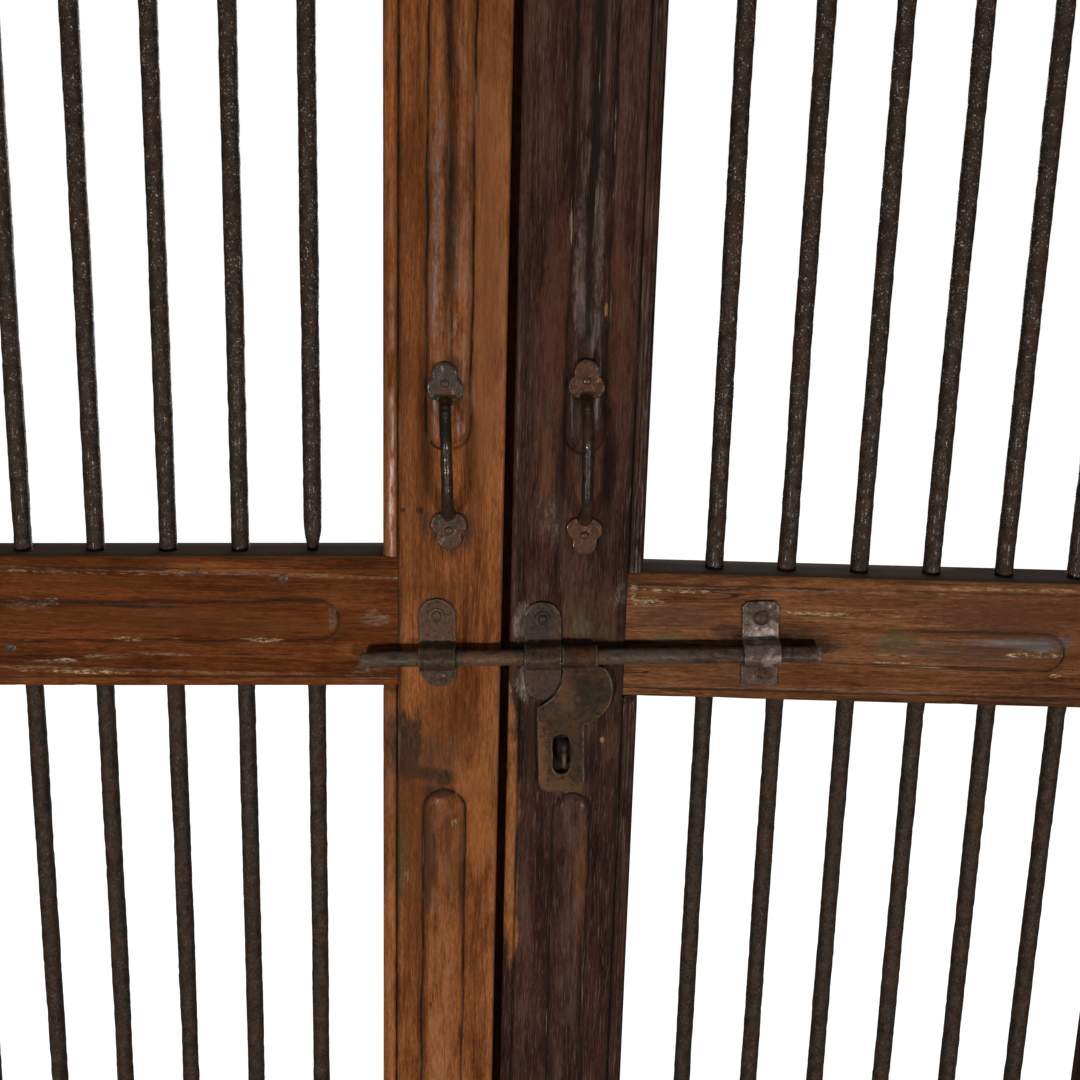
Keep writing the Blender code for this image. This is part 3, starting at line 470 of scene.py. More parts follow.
def stile_form(side, plain_u, moulded_u, meeting_bead, reeds, bands, seed):
    """Core of the upright over the full height, and its bead in the two openings between the rails.

    Places across it, such as its plain and its moulded edge, are distances u from the middle of the gap.
    """
    onward = 1 if moulded_u > plain_u else -1
    shoulder = moulded_u - onward * STILE_MOULDING

    def place(u, depth, z):
        return side * u, FACE_Y + depth, z

    form = Form()
    edge_places = [plain_u + onward * COLUMN_STEP * share for share in (0.06, 0.16, 0.3, 0.5, 0.75, 1.0)]
    if meeting_bead:
        edge_places = bead_places(plain_u, onward, meeting_bead[0])
    band_places = [column for band in bands for column in band.columns()]
    columns = stations(plain_u, shoulder, COLUMN_STEP, edge_places + band_places)
    rows = stations(0.0, LEAF_HEIGHT, ROW_STEP, [row for band in bands for row in band.rows()])
    across, along = np.meshgrid(columns, rows)
    inward = np.abs(across - plain_u)
    if meeting_bead:
        front, hollow, worn = bead(inward, *meeting_bead)
        kept = 1.0 - FADE_SHARE * eased((along - FADE_FROM) / FADE_RUN)
        front = front * kept + round_arris(inward, MEETING_ARRIS) * (1.0 - kept)
        hollow = hollow * kept * 0.6
        worn = worn * 0.5
    else:
        front = round_arris(inward, PLAIN_ARRIS)
        hollow = np.zeros_like(across)
        worn = np.exp(-inward / ARRIS_WEAR)
    front = nicked(front, inward, along, seed + 5)
    hollow = np.maximum(hollow, np.exp(-np.abs(across - shoulder) / SHOULDER_SHADE))
    for number, band in enumerate(bands):
        height, edge, crest = band.relief(across, along, seed + 10 * number)
        front = front - height
        # Stile bands get a darker outline than the hollow mark gives: dirt and painted contact shade round
        # the raised band.
        hollow = np.maximum(hollow, edge * BAND_LINE)
        worn = np.maximum(worn, crest)
    plank(form, columns, rows, front, hollow, worn, place, seed)
    lock_low, lock_high = (settled(side, z, shoulder) for z in RAIL_SPANS["lock"])
    for low, high in ((RAIL_SPANS["bottom"][1], lock_low), (lock_high, RAIL_SPANS["top"][0])):
        edge_places = bead_places(moulded_u, -onward, STILE_MOULDING, reeds)
        columns = stations(shoulder, moulded_u, BEAD_STEP, edge_places)
        end_rows = [high - BEAD_EASE * step / BEAD_ROWS for step in range(1, BEAD_ROWS + 1)]
        rows = stations(low + FIT, high - FIT, ROW_STEP, end_rows)
        across, along = np.meshgrid(columns, rows)
        inward = np.abs(moulded_u - across)
        front, hollow, worn = bead(inward, STILE_MOULDING, STILE_ROLL, reeds)
        front = nicked(front, inward, along, seed + 6)
        front = front + RAIL_ROLL * (1.0 - eased((high - along) / BEAD_EASE))
        plank(form, columns, rows, front, hollow, worn, place, seed + 3)
    return form


def teak(name, upright, tones, pore, seed, streaks=0.6, wear=0.3, paint=0.3, grime_and_shade=0.55, spots=()):
    """Old oiled teak. Tones are its dark, middle and light browns; spots are stains and painted shade on
    the face.
    """
    finish = Finish(bpy.data.materials.new(name))
    place = finish.place()
    shift = (seed * 0.37, seed * 0.11, seed * 0.53)
    stretches = [(1.0, 1.0, 0.045), (1.0, 1.0, 0.3)] if upright else [(0.045, 1.0, 1.0), (0.3, 1.0, 1.0)]
    along, half_along = (
        finish.node("Mapping", {}, {"Vector": place, "Location": shift, "Scale": stretch})
        for stretch in stretches)
    drift = finish.node("TexNoise", {}, {"Vector": along, "Scale": 11.0, "Detail": 2.0}, "Color")
    warp = {0: drift, 1: (0.018, 0.018, 0.018), 2: along}
    warped = finish.node("VectorMath", {"operation": "MULTIPLY_ADD"}, warp)
    figure = finish.speckle(warped, 38.0)
    bands = finish.speckle(warped, 150.0, 4.0, 0.6)
    fibres = finish.speckle(warped, 900.0, 3.0, 0.65)
    pores = finish.speckle(warped, 1300.0, 2.0)
    patch = finish.speckle(half_along, 30.0, 6.0, 0.65)
    ragged = finish.speckle(half_along, 60.0, 8.0, 0.72)
    fleck = finish.mask(finish.speckle(half_along, 420.0, 7.0, 0.75), 0.47, 0.57)
    grain = finish.speckle(half_along, 650.0, 3.0, 0.6)
    dark, middle, light = tones
    tone = figure * 0.36 + bands * 0.34 + fibres * 0.30
    colour = finish.node("ValToRGB", {"stops": [(0.39, dark), (0.5, middle), (0.60, light)]}, {"Fac": tone})
    stained = finish.mask(patch, 0.48, 0.60)
    colour = finish.mix(stained * 0.6, colour, (0.46, 0.40, 0.37), "MULTIPLY")
    faded = 1.0 - finish.mask(patch, 0.36, 0.46)
    colour = finish.mix(faded * 0.5, colour, (1.5, 1.42, 1.3), "MULTIPLY")
    lines = finish.mask(bands, 0.54, 0.68) * finish.mask(fibres, 0.42, 0.60) * streaks
    colour = finish.mix(lines, colour, tuple(0.25 * part for part in dark))
    colour = finish.mix(finish.mask(grain, 0.50, 0.66) * 0.45, colour, (0.50, 0.47, 0.45), "MULTIPLY")
    pale_grain = 1.0 - finish.mask(grain, 0.34, 0.48)
    colour = finish.mix(pale_grain * 0.45, colour, (1.55, 1.5, 1.45), "MULTIPLY")
    open_pores = finish.mask(pores, 0.55, 0.68)
    colour = finish.mix(open_pores * 0.5, colour, pore)
    from_line = finish.node("Math", {"operation": "ABSOLUTE"}, {0: figure - 0.47})
    cracked = finish.mask(finish.speckle(half_along, 9.0), 0.52, 0.58)
    cracks = (1.0 - finish.mask(from_line, 0.0012, 0.0055)) * cracked
    colour = finish.mix(cracks * streaks, colour, (0.008, 0.005, 0.004))
    hollow = finish.mark("hollow")
    worn = finish.mark("worn")
    rubbed = worn * finish.mask(finish.speckle(half_along, 110.0, 5.0, 0.65), 0.42, 0.62)
    sheen = 0.0
    if wear:
        # Rubbed crests turn a paler grey: worn wood, and a painted sheen on the band reeds.
        rubbed_wood_and_sheen = tuple(part * 0.9 + grey for part, grey in zip(light, (0.030, 0.025, 0.020)))
        sheen = rubbed * wear
        colour = finish.mix(sheen, colour, rubbed_wood_and_sheen)
    for *measures, (stain, broken, gloss), amount in spots:
        x, z, reach_x, reach_z = (measure / 1000 for measure in measures)
        edge = (ragged - 0.5) * (1.6 + 3.4 * broken)
        cover = finish.cover(place, (x, FACE_Y, z), (reach_x, STAIN_DEPTH, reach_z), edge)
        laid = cover * (1.0 - broken + fleck * broken) * amount
        colour = finish.mix(laid, colour, stain)
        if gloss:
            sheen = sheen + laid * gloss
    # Up-facing surfaces darken towards a dusty brown: dust, and painted shade on tops that the low lamps
    # don't reach.
    facing_up = finish.node("SeparateXYZ", {}, {0: finish.node("NewGeometry", {}, {}, "Normal")}, "Z")
    settled_dust_and_shade = finish.mask(ragged, 0.42, 0.60) * 0.8 + finish.mask(facing_up, 0.8, 0.95)
    dust_and_top_shade = finish.mask(facing_up, 0.35, 0.9) * settled_dust_and_shade
    # Hollows darken towards near black: dirt, and painted shade in the grooves, shoulders and band
    # outlines.
    dirt_and_shade = hollow * (grime_and_shade + finish.mask(ragged, 0.38, 0.58) * 0.35)
    colour = finish.mix(dirt_and_shade, colour, (0.010, 0.007, 0.005))
    colour = finish.mix(dust_and_top_shade * 0.93, colour, (0.050, 0.034, 0.024))
    flakes = finish.mask(finish.speckle(along, 300.0, 5.0, 0.65), 0.56, 0.61)
    patches = finish.mask(finish.speckle(place, 13.0, 3.0), 0.47, 0.62)
    left_paint = flakes * patches * (0.05 + hollow * 1.2 + worn * 0.12) * paint
    colour = finish.mix(left_paint, colour, (0.36, 0.29, 0.19))
    roughness = 0.64 + stained * 0.12 + dirt_and_shade * 0.3 + dust_and_top_shade * 0.35 + open_pores * 0.1 - rubbed * 0.06
    height = fibres * 0.5 + bands * 0.5 + pores * 0.3 - lines * 0.4
    height = height - open_pores * 0.3 - cracks * 0.8 + left_paint * 0.6
    normal = finish.node("Bump", {}, {"Height": height, "Strength": 0.55, "Distance": 0.0009})
    return finish.surface(
        Base_Color=colour, Roughness=roughness, Normal=normal, Specular_IOR_Level=0.03, Coat_Weight=sheen,
        Coat_Roughness=0.25)


WARM_TONES = ((0.066, 0.018, 0.004), (0.157, 0.050, 0.014), (0.234, 0.087, 0.029))
DARK_TONES = ((0.010, 0.004, 0.003), (0.029, 0.011, 0.007), (0.063, 0.030, 0.020))
WARM_PORE, DARK_PORE = (0.022, 0.008, 0.003), (0.085, 0.058, 0.043)
LEFT_BAND, RIGHT_BAND = 0.033, 0.029
STILE_BAND_ENDS = ((0.245, 0.843), (1.128, 1.829))
# Each stain has a colour, how broken up it is, and its gloss. Each spot has the x and z of its middle and
# its reach along both, in millimetres, then its stain and how much of it. Some spots are painted shadows,
# shade and highlights, as marked below.
# This near-black stain is dirt in most spots, and painted shade round the handle plates, beside the right
# staple and along the right lock rail's band.
SMUDGE_AND_SHADE = (0.018, 0.011, 0.007), 0.25, 0.0
# This grey is wear on edges and scuffs; on the left lock rail's band, along its upper side and at its end,
# it is a painted highlight.
GREY_WEAR_AND_HIGHLIGHT = (0.150, 0.115, 0.085), 0.85, 0.0
PALE_SCUFF = (0.170, 0.128, 0.098), 0.6, 0.0
VERDIGRIS = (0.052, 0.052, 0.024), 0.6, 0.0
RUST_BROWN = (0.100, 0.036, 0.015), 0.5, 0.0
ORANGE = (0.250, 0.088, 0.024), 0.4, 0.0
CREAM = (0.36, 0.27, 0.16), 1.0, 0.0
DEEP_BROWN = (0.060, 0.019, 0.006), 0.4, 0.0
OLD_BROWN = (0.052, 0.026, 0.014), 0.5, 0.0
PALE_WOOD = (0.30, 0.17, 0.075), 0.2, 0.0
SMOOTH_TEAK = (0.165, 0.061, 0.023), 0.0, 0.0
# The grey of this stain is a painted sheen on the band reeds; its gloss value adds a real coat there.
GREY_GLOSS_PAINTED_SHEEN = (0.128, 0.092, 0.077), 0.8, 0.25
RED_BROWN = (0.062, 0.021, 0.011), 0.6, 0.0
BLACK = (0.006, 0.004, 0.003), 0.1, 0.0
left_meeting_spots = [
    (-50, 830, 70, 130, DEEP_BROWN, 0.4),
    # Painted shadows of the left handle's rod, one to each side of it.
    (-64, 1108, 7, 60, DEEP_BROWN, 0.75),
    (-27.5, 1110, 7, 60, DEEP_BROWN, 0.75),
    (-58, 872, 30, 34, OLD_BROWN, 0.8),
    (-78.5, 886, 21, 36, SMUDGE_AND_SHADE, 0.95),
    (-69, 858, 24, 8, SMUDGE_AND_SHADE, 0.75),
    (-46.6, 853, 9, 9, SMUDGE_AND_SHADE, 0.95),
    (-50, 842, 20, 6, SMUDGE_AND_SHADE, 0.7),
    (-19.5, 1290, 20, 280, SMOOTH_TEAK, 0.5),
    (-45, 915, 30, 12, DEEP_BROWN, 0.55),
    (-26.9, 903, 12, 14, DEEP_BROWN, 0.6),
    (-22, 820, 20, 70, ORANGE, 0.55),
    (-59.2, 775, 7, 75, SMUDGE_AND_SHADE, 0.8),
    (-32, 785, 4, 60, SMUDGE_AND_SHADE, 0.6),
    (-81.5, 780, 8, 50, VERDIGRIS, 0.8),
    (-77.5, 762, 4, 16, CREAM, 0.45),
    (-40, 816, 12, 10, DEEP_BROWN, 0.7),
    (-37.5, 815, 5, 7, CREAM, 0.4),
    (-87.5, 988, 12, 10, GREY_WEAR_AND_HIGHLIGHT, 0.6),
    (-53, 1012, 30, 14, DEEP_BROWN, 0.5),
    (-47, 1075, 24, 22, DEEP_BROWN, 0.5),
    (-90, 950, 10, 30, SMUDGE_AND_SHADE, 0.5),
    (-57.5, 1300, 6, 90, GREY_GLOSS_PAINTED_SHEEN, 0.8),
    (-34.2, 1300, 3, 80, GREY_GLOSS_PAINTED_SHEEN, 0.4),
    (-52.5, 1290, 2.5, 60, ORANGE, 0.6),
    (-44.8, 1300, 6, 80, OLD_BROWN, 1),
    (-45, 1222, 1.2, 30, SMUDGE_AND_SHADE, 0.9),
    (-74, 1190, 16, 230, DEEP_BROWN, 0.55),
    (-74, 780, 22, 110, DEEP_BROWN, 0.6),
    # Grime and painted contact shade round the left handle's lower and upper plates.
    (-45.6, 1063, 21.5, 23.5, SMUDGE_AND_SHADE, 0.75),
    (-49.6, 1181.5, 21.5, 23.5, SMUDGE_AND_SHADE, 0.6),
    (-81.5, 1078.5, 2.5, 2.5, SMUDGE_AND_SHADE, 1),
    (-68.3, 1078.9, 3, 3, SMUDGE_AND_SHADE, 1),
]
right_meeting_spots = [
    (12.5, 934, 13, 17, GREY_WEAR_AND_HIGHLIGHT, 1),
    (12.5, 940, 10, 20, PALE_SCUFF, 0.8),
    (72, 992, 34, 50, OLD_BROWN, 0.7),
    (63.1, 986, 14, 10, VERDIGRIS, 0.8),
    (34, 1074, 12, 24, GREY_WEAR_AND_HIGHLIGHT, 0.4),
    (80.1, 891, 3, 4, PALE_WOOD, 0.8),
    (66.9, 772, 6, 60, RUST_BROWN, 0.7),
    (57.5, 1100, 26, 50, RED_BROWN, 0.5),
    (7, 810, 9, 170, ORANGE, 0.8),
    (94, 1020, 12, 30, GREY_WEAR_AND_HIGHLIGHT, 0.4),
    (22.6, 885, 7, 40, SMUDGE_AND_SHADE, 0.9),
    # Painted shadow of the hasp's lower end, to its right.
    (71.5, 875, 6, 30, BLACK, 0.75),
    (88.3, 889, 18, 30, OLD_BROWN, 0.7),
    (32, 1220, 16, 120, RED_BROWN, 0.7),
    # Painted shadows of the right handle's rod, one to each side of it.
    (40, 1106, 6, 55, BLACK, 0.6),
    (78, 1112, 6, 55, BLACK, 0.55),
    (30, 1125, 10, 40, RUST_BROWN, 0.45),
    (56, 1100, 9, 30, RUST_BROWN, 0.3),
    (80, 1230, 12, 100, RED_BROWN, 0.7),
    (70.6, 1238, 1.6, 6, PALE_WOOD, 0.7),
    (50.2, 1270, 4.5, 100, GREY_GLOSS_PAINTED_SHEEN, 0.34),
    (63.4, 1280, 4, 100, GREY_GLOSS_PAINTED_SHEEN, 0.34),
    # Grime and painted contact shade round the right handle's lower and upper plates.
    (60.1, 1062, 21.5, 24, BLACK, 0.6),
    (57.7, 1186, 21, 23.5, BLACK, 0.6),
    (57.2, 1270, 3, 100, BLACK, 0.5),
    (12, 985, 8, 22, PALE_SCUFF, 0.6),
    # Painted shade on the timber seen through the hasp's slot.
    (47.2, 880.3, 10, 22, BLACK, 1),
]
RIGHT_REEDS = (0.0052, 0.0085)
LEAF_TEAK = {
    "left": (-1, WARM_TONES, WARM_PORE, LEFT_BAND, (), 0.6, 0.30, 0.12, "warm_teak"),
    "right": (1, DARK_TONES, DARK_PORE, RIGHT_BAND, RIGHT_REEDS, 0.8, 0.20, 0.3, "dark_teak"),
}
STILES = {
    "left_meeting_stile": (MEETING_EDGE, 0.0975, None, 0.047, 3, left_meeting_spots),
    "left_hanging_stile": (0.6071, 0.5021, None, 0.5546, 9, []),
    "right_meeting_stile": (MEETING_EDGE, 0.1075, (0.0100, 0.0045), 0.0575, 5, right_meeting_spots),
    "right_hanging_stile": (0.6071, 0.5121, None, 0.5596, 14, []),
}
for name, (plain_u, moulded_u, meeting_bead, band_u, seed, spots) in STILES.items():
    leaf = name.split("_")[0]
    side, tones, pore, band_width, reeds, streaks, wear, paint, slot = LEAF_TEAK[leaf]
    lower, upper = STILE_BAND_ENDS
    bands = [Band(band_u, band_width, *lower), Band(band_u, band_width, *upper, valley_from=0.03)]
    shape = stile_form(side, plain_u, moulded_u, meeting_bead, reeds, bands, seed)
    wood = teak(name + "_teak", True, tones, pore, seed, streaks, wear, paint, grime_and_shade=0.6, spots=spots)
    dress(name + "_timber", shape, wood, leaf + "_leaf", slot, [name])

# The rails: three cross timbers in each leaf, tenoned into the stiles. Both edges have a groove and bead,
# and a raised band runs along the middle. The left lock rail is redder and has sunk away from the gap,
# the right one is browner with flecks of old cream paint.
RAIL_MOULDING = 0.0095
RAIL_SETBACK = 0.001
RAIL_STEP, RAIL_DITCH = 0.007, 0.0011
RAIL_BAND = 0.030
LEFT_RAIL_TONES = ((0.031, 0.008, 0.002), (0.079, 0.020, 0.004), (0.123, 0.038, 0.010))
RIGHT_RAIL_TONES = ((0.030, 0.011, 0.004), (0.100, 0.037, 0.014), (0.163, 0.068, 0.029))
RAIL_REACH = {"left": (0.0853, 0.5143), "right": (0.0953, 0.5243)}
# A blue-grey painted reflection for the upper facet of the right lock rail's band; its gloss adds a slight
# real coat.
BLUE_GREY = (0.062, 0.055, 0.057), 0.35, 0.05
left_lock_spots = [
    (-102, 988, 12, 8, GREY_WEAR_AND_HIGHLIGHT, 0.6),
    (-250, 1022.8, 300, 1.6, GREY_WEAR_AND_HIGHLIGHT, 0.55),
    (-340, 1020.5, 110, 1.2, CREAM, 0.4),
    (-250, 940, 300, 1.4, GREY_WEAR_AND_HIGHLIGHT, 0.45),
    # Painted highlight along the upper side of the band.
    (-380, 992.5, 30, 5, GREY_WEAR_AND_HIGHLIGHT, 0.35),
    # Painted highlight on the lit facet at the band's end.
    (-136.7, 990, 4, 10, GREY_WEAR_AND_HIGHLIGHT, 0.8),
    (-360, 946, 22, 2, GREY_WEAR_AND_HIGHLIGHT, 0.8),
    (-320, 951.2, 26, 2, GREY_WEAR_AND_HIGHLIGHT, 0.8),
    (-270, 954, 34, 1.6, GREY_WEAR_AND_HIGHLIGHT, 0.7),
    (-270, 983, 190, 16, DEEP_BROWN, 0.6),
    (-350, 947.8, 16, 1.8, CREAM, 0.8),
    (-340, 937.2, 50, 1.4, CREAM, 0.7),
    (-110, 950, 14, 12, GREY_WEAR_AND_HIGHLIGHT, 0.5),
    (-301, 966.5, 14, 2, CREAM, 0.9),
    (-261.9, 967.5, 6, 2, CREAM, 0.9),
    (-193.4, 969, 18, 2, CREAM, 0.9),
    (-368.5, 995.5, 20, 4, CREAM, 0.6),
    (-293.4, 994.5, 45, 1.8, SMUDGE_AND_SHADE, 1),
    (-330, 1015, 70, 12, DEEP_BROWN, 0.5),
    (-120, 1008, 45, 12, ORANGE, 0.15),
    (-220, 1027, 60, 4, ORANGE, 0.4),
    (-115, 960, 30, 8, ORANGE, 0.25),
]
right_lock_spots = [
    (309.5, 981, 24, 10, VERDIGRIS, 0.95),
    (127, 978, 22, 6, VERDIGRIS, 0.85),
    (113.7, 1008, 16, 4, CREAM, 0.55),
    (136.9, 1018, 26, 2, CREAM, 0.6),
    (130, 996, 45, 14, OLD_BROWN, 0.85),
    (385, 1000, 60, 16, OLD_BROWN, 1),
    (410, 1006, 110, 22, RED_BROWN, 0.9),
    (430, 985, 110, 50, DEEP_BROWN, 0.35),
    (322, 964, 30, 1.5, CREAM, 0.9),
    (270, 1025, 160, 4, ORANGE, 0.4),
    # Dirt and painted shadow beside and behind the right staple.
    (215, 985, 45, 14, SMUDGE_AND_SHADE, 0.7),
    (176.6, 986, 16, 10, SMUDGE_AND_SHADE, 0.7),
    (186, 948, 30, 10, OLD_BROWN, 0.8),
    (318.4, 970.5, 34, 2, CREAM, 0.9),
    (420, 976.5, 30, 3, CREAM, 0.8),
    (439.7, 955.2, 5, 3, CREAM, 1),
    (245, 1002.5, 75, 1.4, CREAM, 0.6),
    (380, 974, 110, 10, OLD_BROWN, 0.75),
    (300, 948, 90, 8, DEEP_BROWN, 0.5),
    (290, 1012, 50, 6, DEEP_BROWN, 0.6),
    (100, 1018, 4, 10, CREAM, 0.4),
    (360, 975, 120, 15, OLD_BROWN, 0.65),
    # Painted reflection on the band's upper facet near its end.
    (405, 983, 60, 6, BLUE_GREY, 0.75),
    (418, 973.5, 40, 2, CREAM, 0.9),
    # Dirt and painted contact shade along the band's lower edge.
    (340, 961.8, 120, 1.2, SMUDGE_AND_SHADE, 0.9),
    (260, 1021.5, 180, 1.4, GREY_WEAR_AND_HIGHLIGHT, 0.5),
    (300, 938.5, 180, 1.4, GREY_WEAR_AND_HIGHLIGHT, 0.5),
    (247, 978, 30, 10, SMUDGE_AND_SHADE, 0.6),
    (400, 1026, 80, 2, CREAM, 0.35),
]


def rail_form(side, start, end, low, high, band_start, band_end, band_rise, worn_start, seed):
    """Cross timber between the shoulders of the stiles."""
    locks = (low, high) == RAIL_SPANS["lock"]

    def place(z, depth, u):
        return side * u, FACE_Y + depth, settled(side, z, u) if locks else z

    form = Form()
    band = Band((low + high) / 2 + band_rise, RAIL_BAND, band_start, band_end, worn_start=worn_start)
    edges = bead_places(low, 1, RAIL_MOULDING) + bead_places(high, -1, RAIL_MOULDING)
    columns = stations(low, high, COLUMN_STEP, edges + band.columns())
    rows = stations(start, end, RAIL_STEP, band.rows())
    across, along = np.meshgrid(columns, rows)
    from_edge = np.minimum(across - low, high - across)
    front, hollow, worn = bead(from_edge, RAIL_MOULDING, RAIL_ROLL, ditch=RAIL_DITCH)
    hollow = hollow * 0.4
    front = nicked(front + RAIL_SETBACK, from_edge, along, seed + 5)
    height, edge, crest = band.relief(across, along, seed + 7)
    hollow, worn = np.maximum(hollow, edge), np.maximum(worn, crest)
    plank(form, columns, rows, front - height, hollow, worn, place, seed)
    return form


RAIL_TEAK = {
    "left": (-1, LEFT_RAIL_TONES, 0.25, "warm_teak"),
    "right": (1, RIGHT_RAIL_TONES, 0.4, "brown_teak"),
}
PLAIN_RAIL = (0.047, 0.047, 0.0, None, ())
LOCK_RAILS = {
    "left": (0.047, 0.047, 0.0017, None, left_lock_spots),
    "right": (0.137, 0.08, -0.0045, 0.13, right_lock_spots),
}
for leaf, (side, tones, paint, slot) in RAIL_TEAK.items():
    start, end = RAIL_REACH[leaf]
    for number, (which, (low, high)) in enumerate(RAIL_SPANS.items()):
        name = "%s_%s_rail" % (leaf, which)
        seed = 21 + number * 3 + (side + 1) * 10
        before, after, rise, worn_start, spots = LOCK_RAILS[leaf] if which == "lock" else PLAIN_RAIL
        shape = rail_form(side, start, end, low, high, start + before, end - after, rise, worn_start, seed)
        wood = teak(
            name + "_teak", False, tones, WARM_PORE, seed, streaks=0.85, wear=0.0, paint=paint, spots=spots)
        dress(name + "_timber", shape, wood, leaf + "_leaf", slot, [name])

# The cover strip: a thin chamfered lath of teak, nailed behind the left meeting stile. It closes the gap
# between the leaves and moves with the left one.
STRIP_CHAMFER = 0.003
STRIP_MARKS = 0.00018, (0.02, 1.0, 0.2)


def lofted(rings):
    form = Form()
    form.loft(rings)
    return form


strip_low, strip_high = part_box("cover_strip")
chamfers = [strip_low.x + STRIP_CHAMFER, strip_high.x - STRIP_CHAMFER]
columns = stations(strip_low.x, strip_high.x, 0.004, chamfers)
across, along = np.meshgrid(columns, stations(strip_low.z, strip_high.z, 0.02))
inward = np.minimum(across - strip_low.x, strip_high.x - across)
back = strip_high.y - STRIP_CHAMFER * (1.0 - np.clip(inward / STRIP_CHAMFER, 0.0, 1.0))
uneven, pitch = STRIP_MARKS
back = back - BACK_SETBACK + uneven * swell(spot_at(across, along, back), pitch, 71)
strip_rings = [spot_at(across, along, back), spot_at(across, along, strip_low.y)[:, ::-1]]
strip_wood = teak("cover_strip_teak", True, WARM_TONES, WARM_PORE, 17, streaks=0.7, paint=0.2)
strip_shape = lofted(np.concatenate(strip_rings, axis=1))
dress("cover_strip_lath", strip_shape, strip_wood, "left_leaf", "warm_teak", ["cover_strip"])

# The bars: round wrought iron, hammered and pitted all over, each end let into a hole in a rail. The upper
# bar beside the left meeting stile has a foot drawn down to a tang.
BAR_RADIUS = 0.0072
BAR_SEAT = 0.022
BAR_SIDES = 18
BAR_STEP = 0.0042
TANG_RADIUS, TANG_START, TANG_RUN = 0.0045, 0.006, 0.02
BAR_LARGEST = 0.00765
BAR_FLARE, FLARE_REACH = 0.0003, 0.006
BAR_BEND = 0.0006
BLOWS = 0.00012, (0.012, 0.012, 0.018)
PITTING = 0.00010, (0.006, 0.006, 0.008)
WAVER = 0.00012, (0.05, 0.05, 0.11)


def iron(
        name, skin, rust, rust_share, pit_size, pit_depth, dullness, bright, glints, spots=(), painted_glints=0.0):
    """Forged iron: a dark skin with rust, pits, and brighter metal on the worn edges."""
    finish = Finish(bpy.data.materials.new(name))
    place = finish.place()
    scale = finish.speckle(place, 34.0, 6.0, 0.65)
    pits = finish.speckle(place, 1.0 / pit_size, 3.0, 0.6)
    grit = finish.speckle(place, 4.2 / pit_size, 3.0, 0.6)
    ragged = finish.speckle(place, 130.0, 5.0, 0.7)
    rusty = finish.mask(scale, 0.58 - 0.3 * rust_share, 0.74 - 0.3 * rust_share)
    colour = finish.mix(rusty, skin, rust)
    colour = finish.mix(finish.mask(grit, 0.40, 0.66) * 0.5, colour, (0.35, 0.33, 0.32), "MULTIPLY")
    sunk = 1.0 - finish.mask(pits, 0.36, 0.52)
    colour = finish.mix(sunk * 0.65, colour, (0.009, 0.006, 0.005))
    edge = finish.mask(finish.node("NewGeometry", {}, {}, "Pointiness"), 0.507, 0.55)
    shine = edge * finish.mask(ragged, 0.36, 0.58) * bright
    colour = finish.mix(shine, colour, (0.24, 0.19, 0.15))
    # Pale specks, more of them up high: painted glints of light on the hammered facets, put into the base
    # colour.
    if painted_glints:
        height = finish.node("SeparateXYZ", {}, {0: place}, "Z")
        often = (0.2 + finish.mask(height, 1.0, 1.3) * 0.8) * painted_glints
        points = finish.mask(finish.speckle(place, 640.0, 1.0, 0.5), 0.61, 0.70)
        points = points * finish.mask(ragged, 0.45, 0.56)
        colour = finish.mix(points * often, colour, (0.26, 0.22, 0.19))
    for centre, reach, stain, amount in spots:
        cover = finish.cover(place, centre, reach, (ragged - 0.5) * 3.0)
        colour = finish.mix(cover * amount, colour, stain)
    roughness = dullness + rusty * 0.18 + sunk * 0.2 + grit * 0.12 - shine * 0.12
    metallic = 0.30 - rusty * 0.2 - sunk * 0.1 + shine * 0.4
    normal = finish.node("Bump", {}, {"Height": pits + grit * 0.35, "Strength": 0.8, "Distance": pit_depth})
    sparkle = finish.mask(ragged, 0.50, 0.60) * finish.mask(grit, 0.48, 0.56) * glints
    return finish.surface(
        Base_Color=colour, Roughness=roughness, Metallic=metallic, Normal=normal, Specular_IOR_Level=0.08,
        Coat_Weight=sparkle, Coat_Roughness=0.16)


def turns(sides):
    """Angles of equally spaced points round a circle."""
    return np.arange(sides) * 2 * math.pi / sides


def bar_form(length, tang, seed):
    """One hammered bar about its own axis, from its foot up."""
    rows = np.linspace(0.0, length, int(length / BAR_STEP))
    height, angle = np.meshgrid(rows, turns(BAR_SIDES), indexing="ij")
    skin = np.stack([np.cos(angle) * BAR_RADIUS, np.sin(angle) * BAR_RADIUS, height], axis=-1)
    blow, blow_pitch = BLOWS
    radius = BAR_RADIUS + blow * np.minimum(swell(skin, blow_pitch, seed), 0.55)
    for number, (uneven, pitch) in enumerate((PITTING, WAVER), 1):
        radius = radius + uneven * swell(skin, pitch, seed + number)
    from_seat = np.minimum(np.abs(height - BAR_SEAT), np.abs(length - BAR_SEAT - height))
    radius = np.minimum(radius + BAR_FLARE * np.exp(-(from_seat / FLARE_REACH) ** 2), BAR_LARGEST)
    if tang:
        grown = eased((height - BAR_SEAT - TANG_START) / TANG_RUN)
        radius = TANG_RADIUS + (radius - TANG_RADIUS) * grown
    bend = BAR_BEND * np.sin(height / length * math.pi) * math.sin(seed)
    return lofted(np.stack([np.cos(angle) * radius + bend, np.sin(angle) * radius, height], axis=-1))


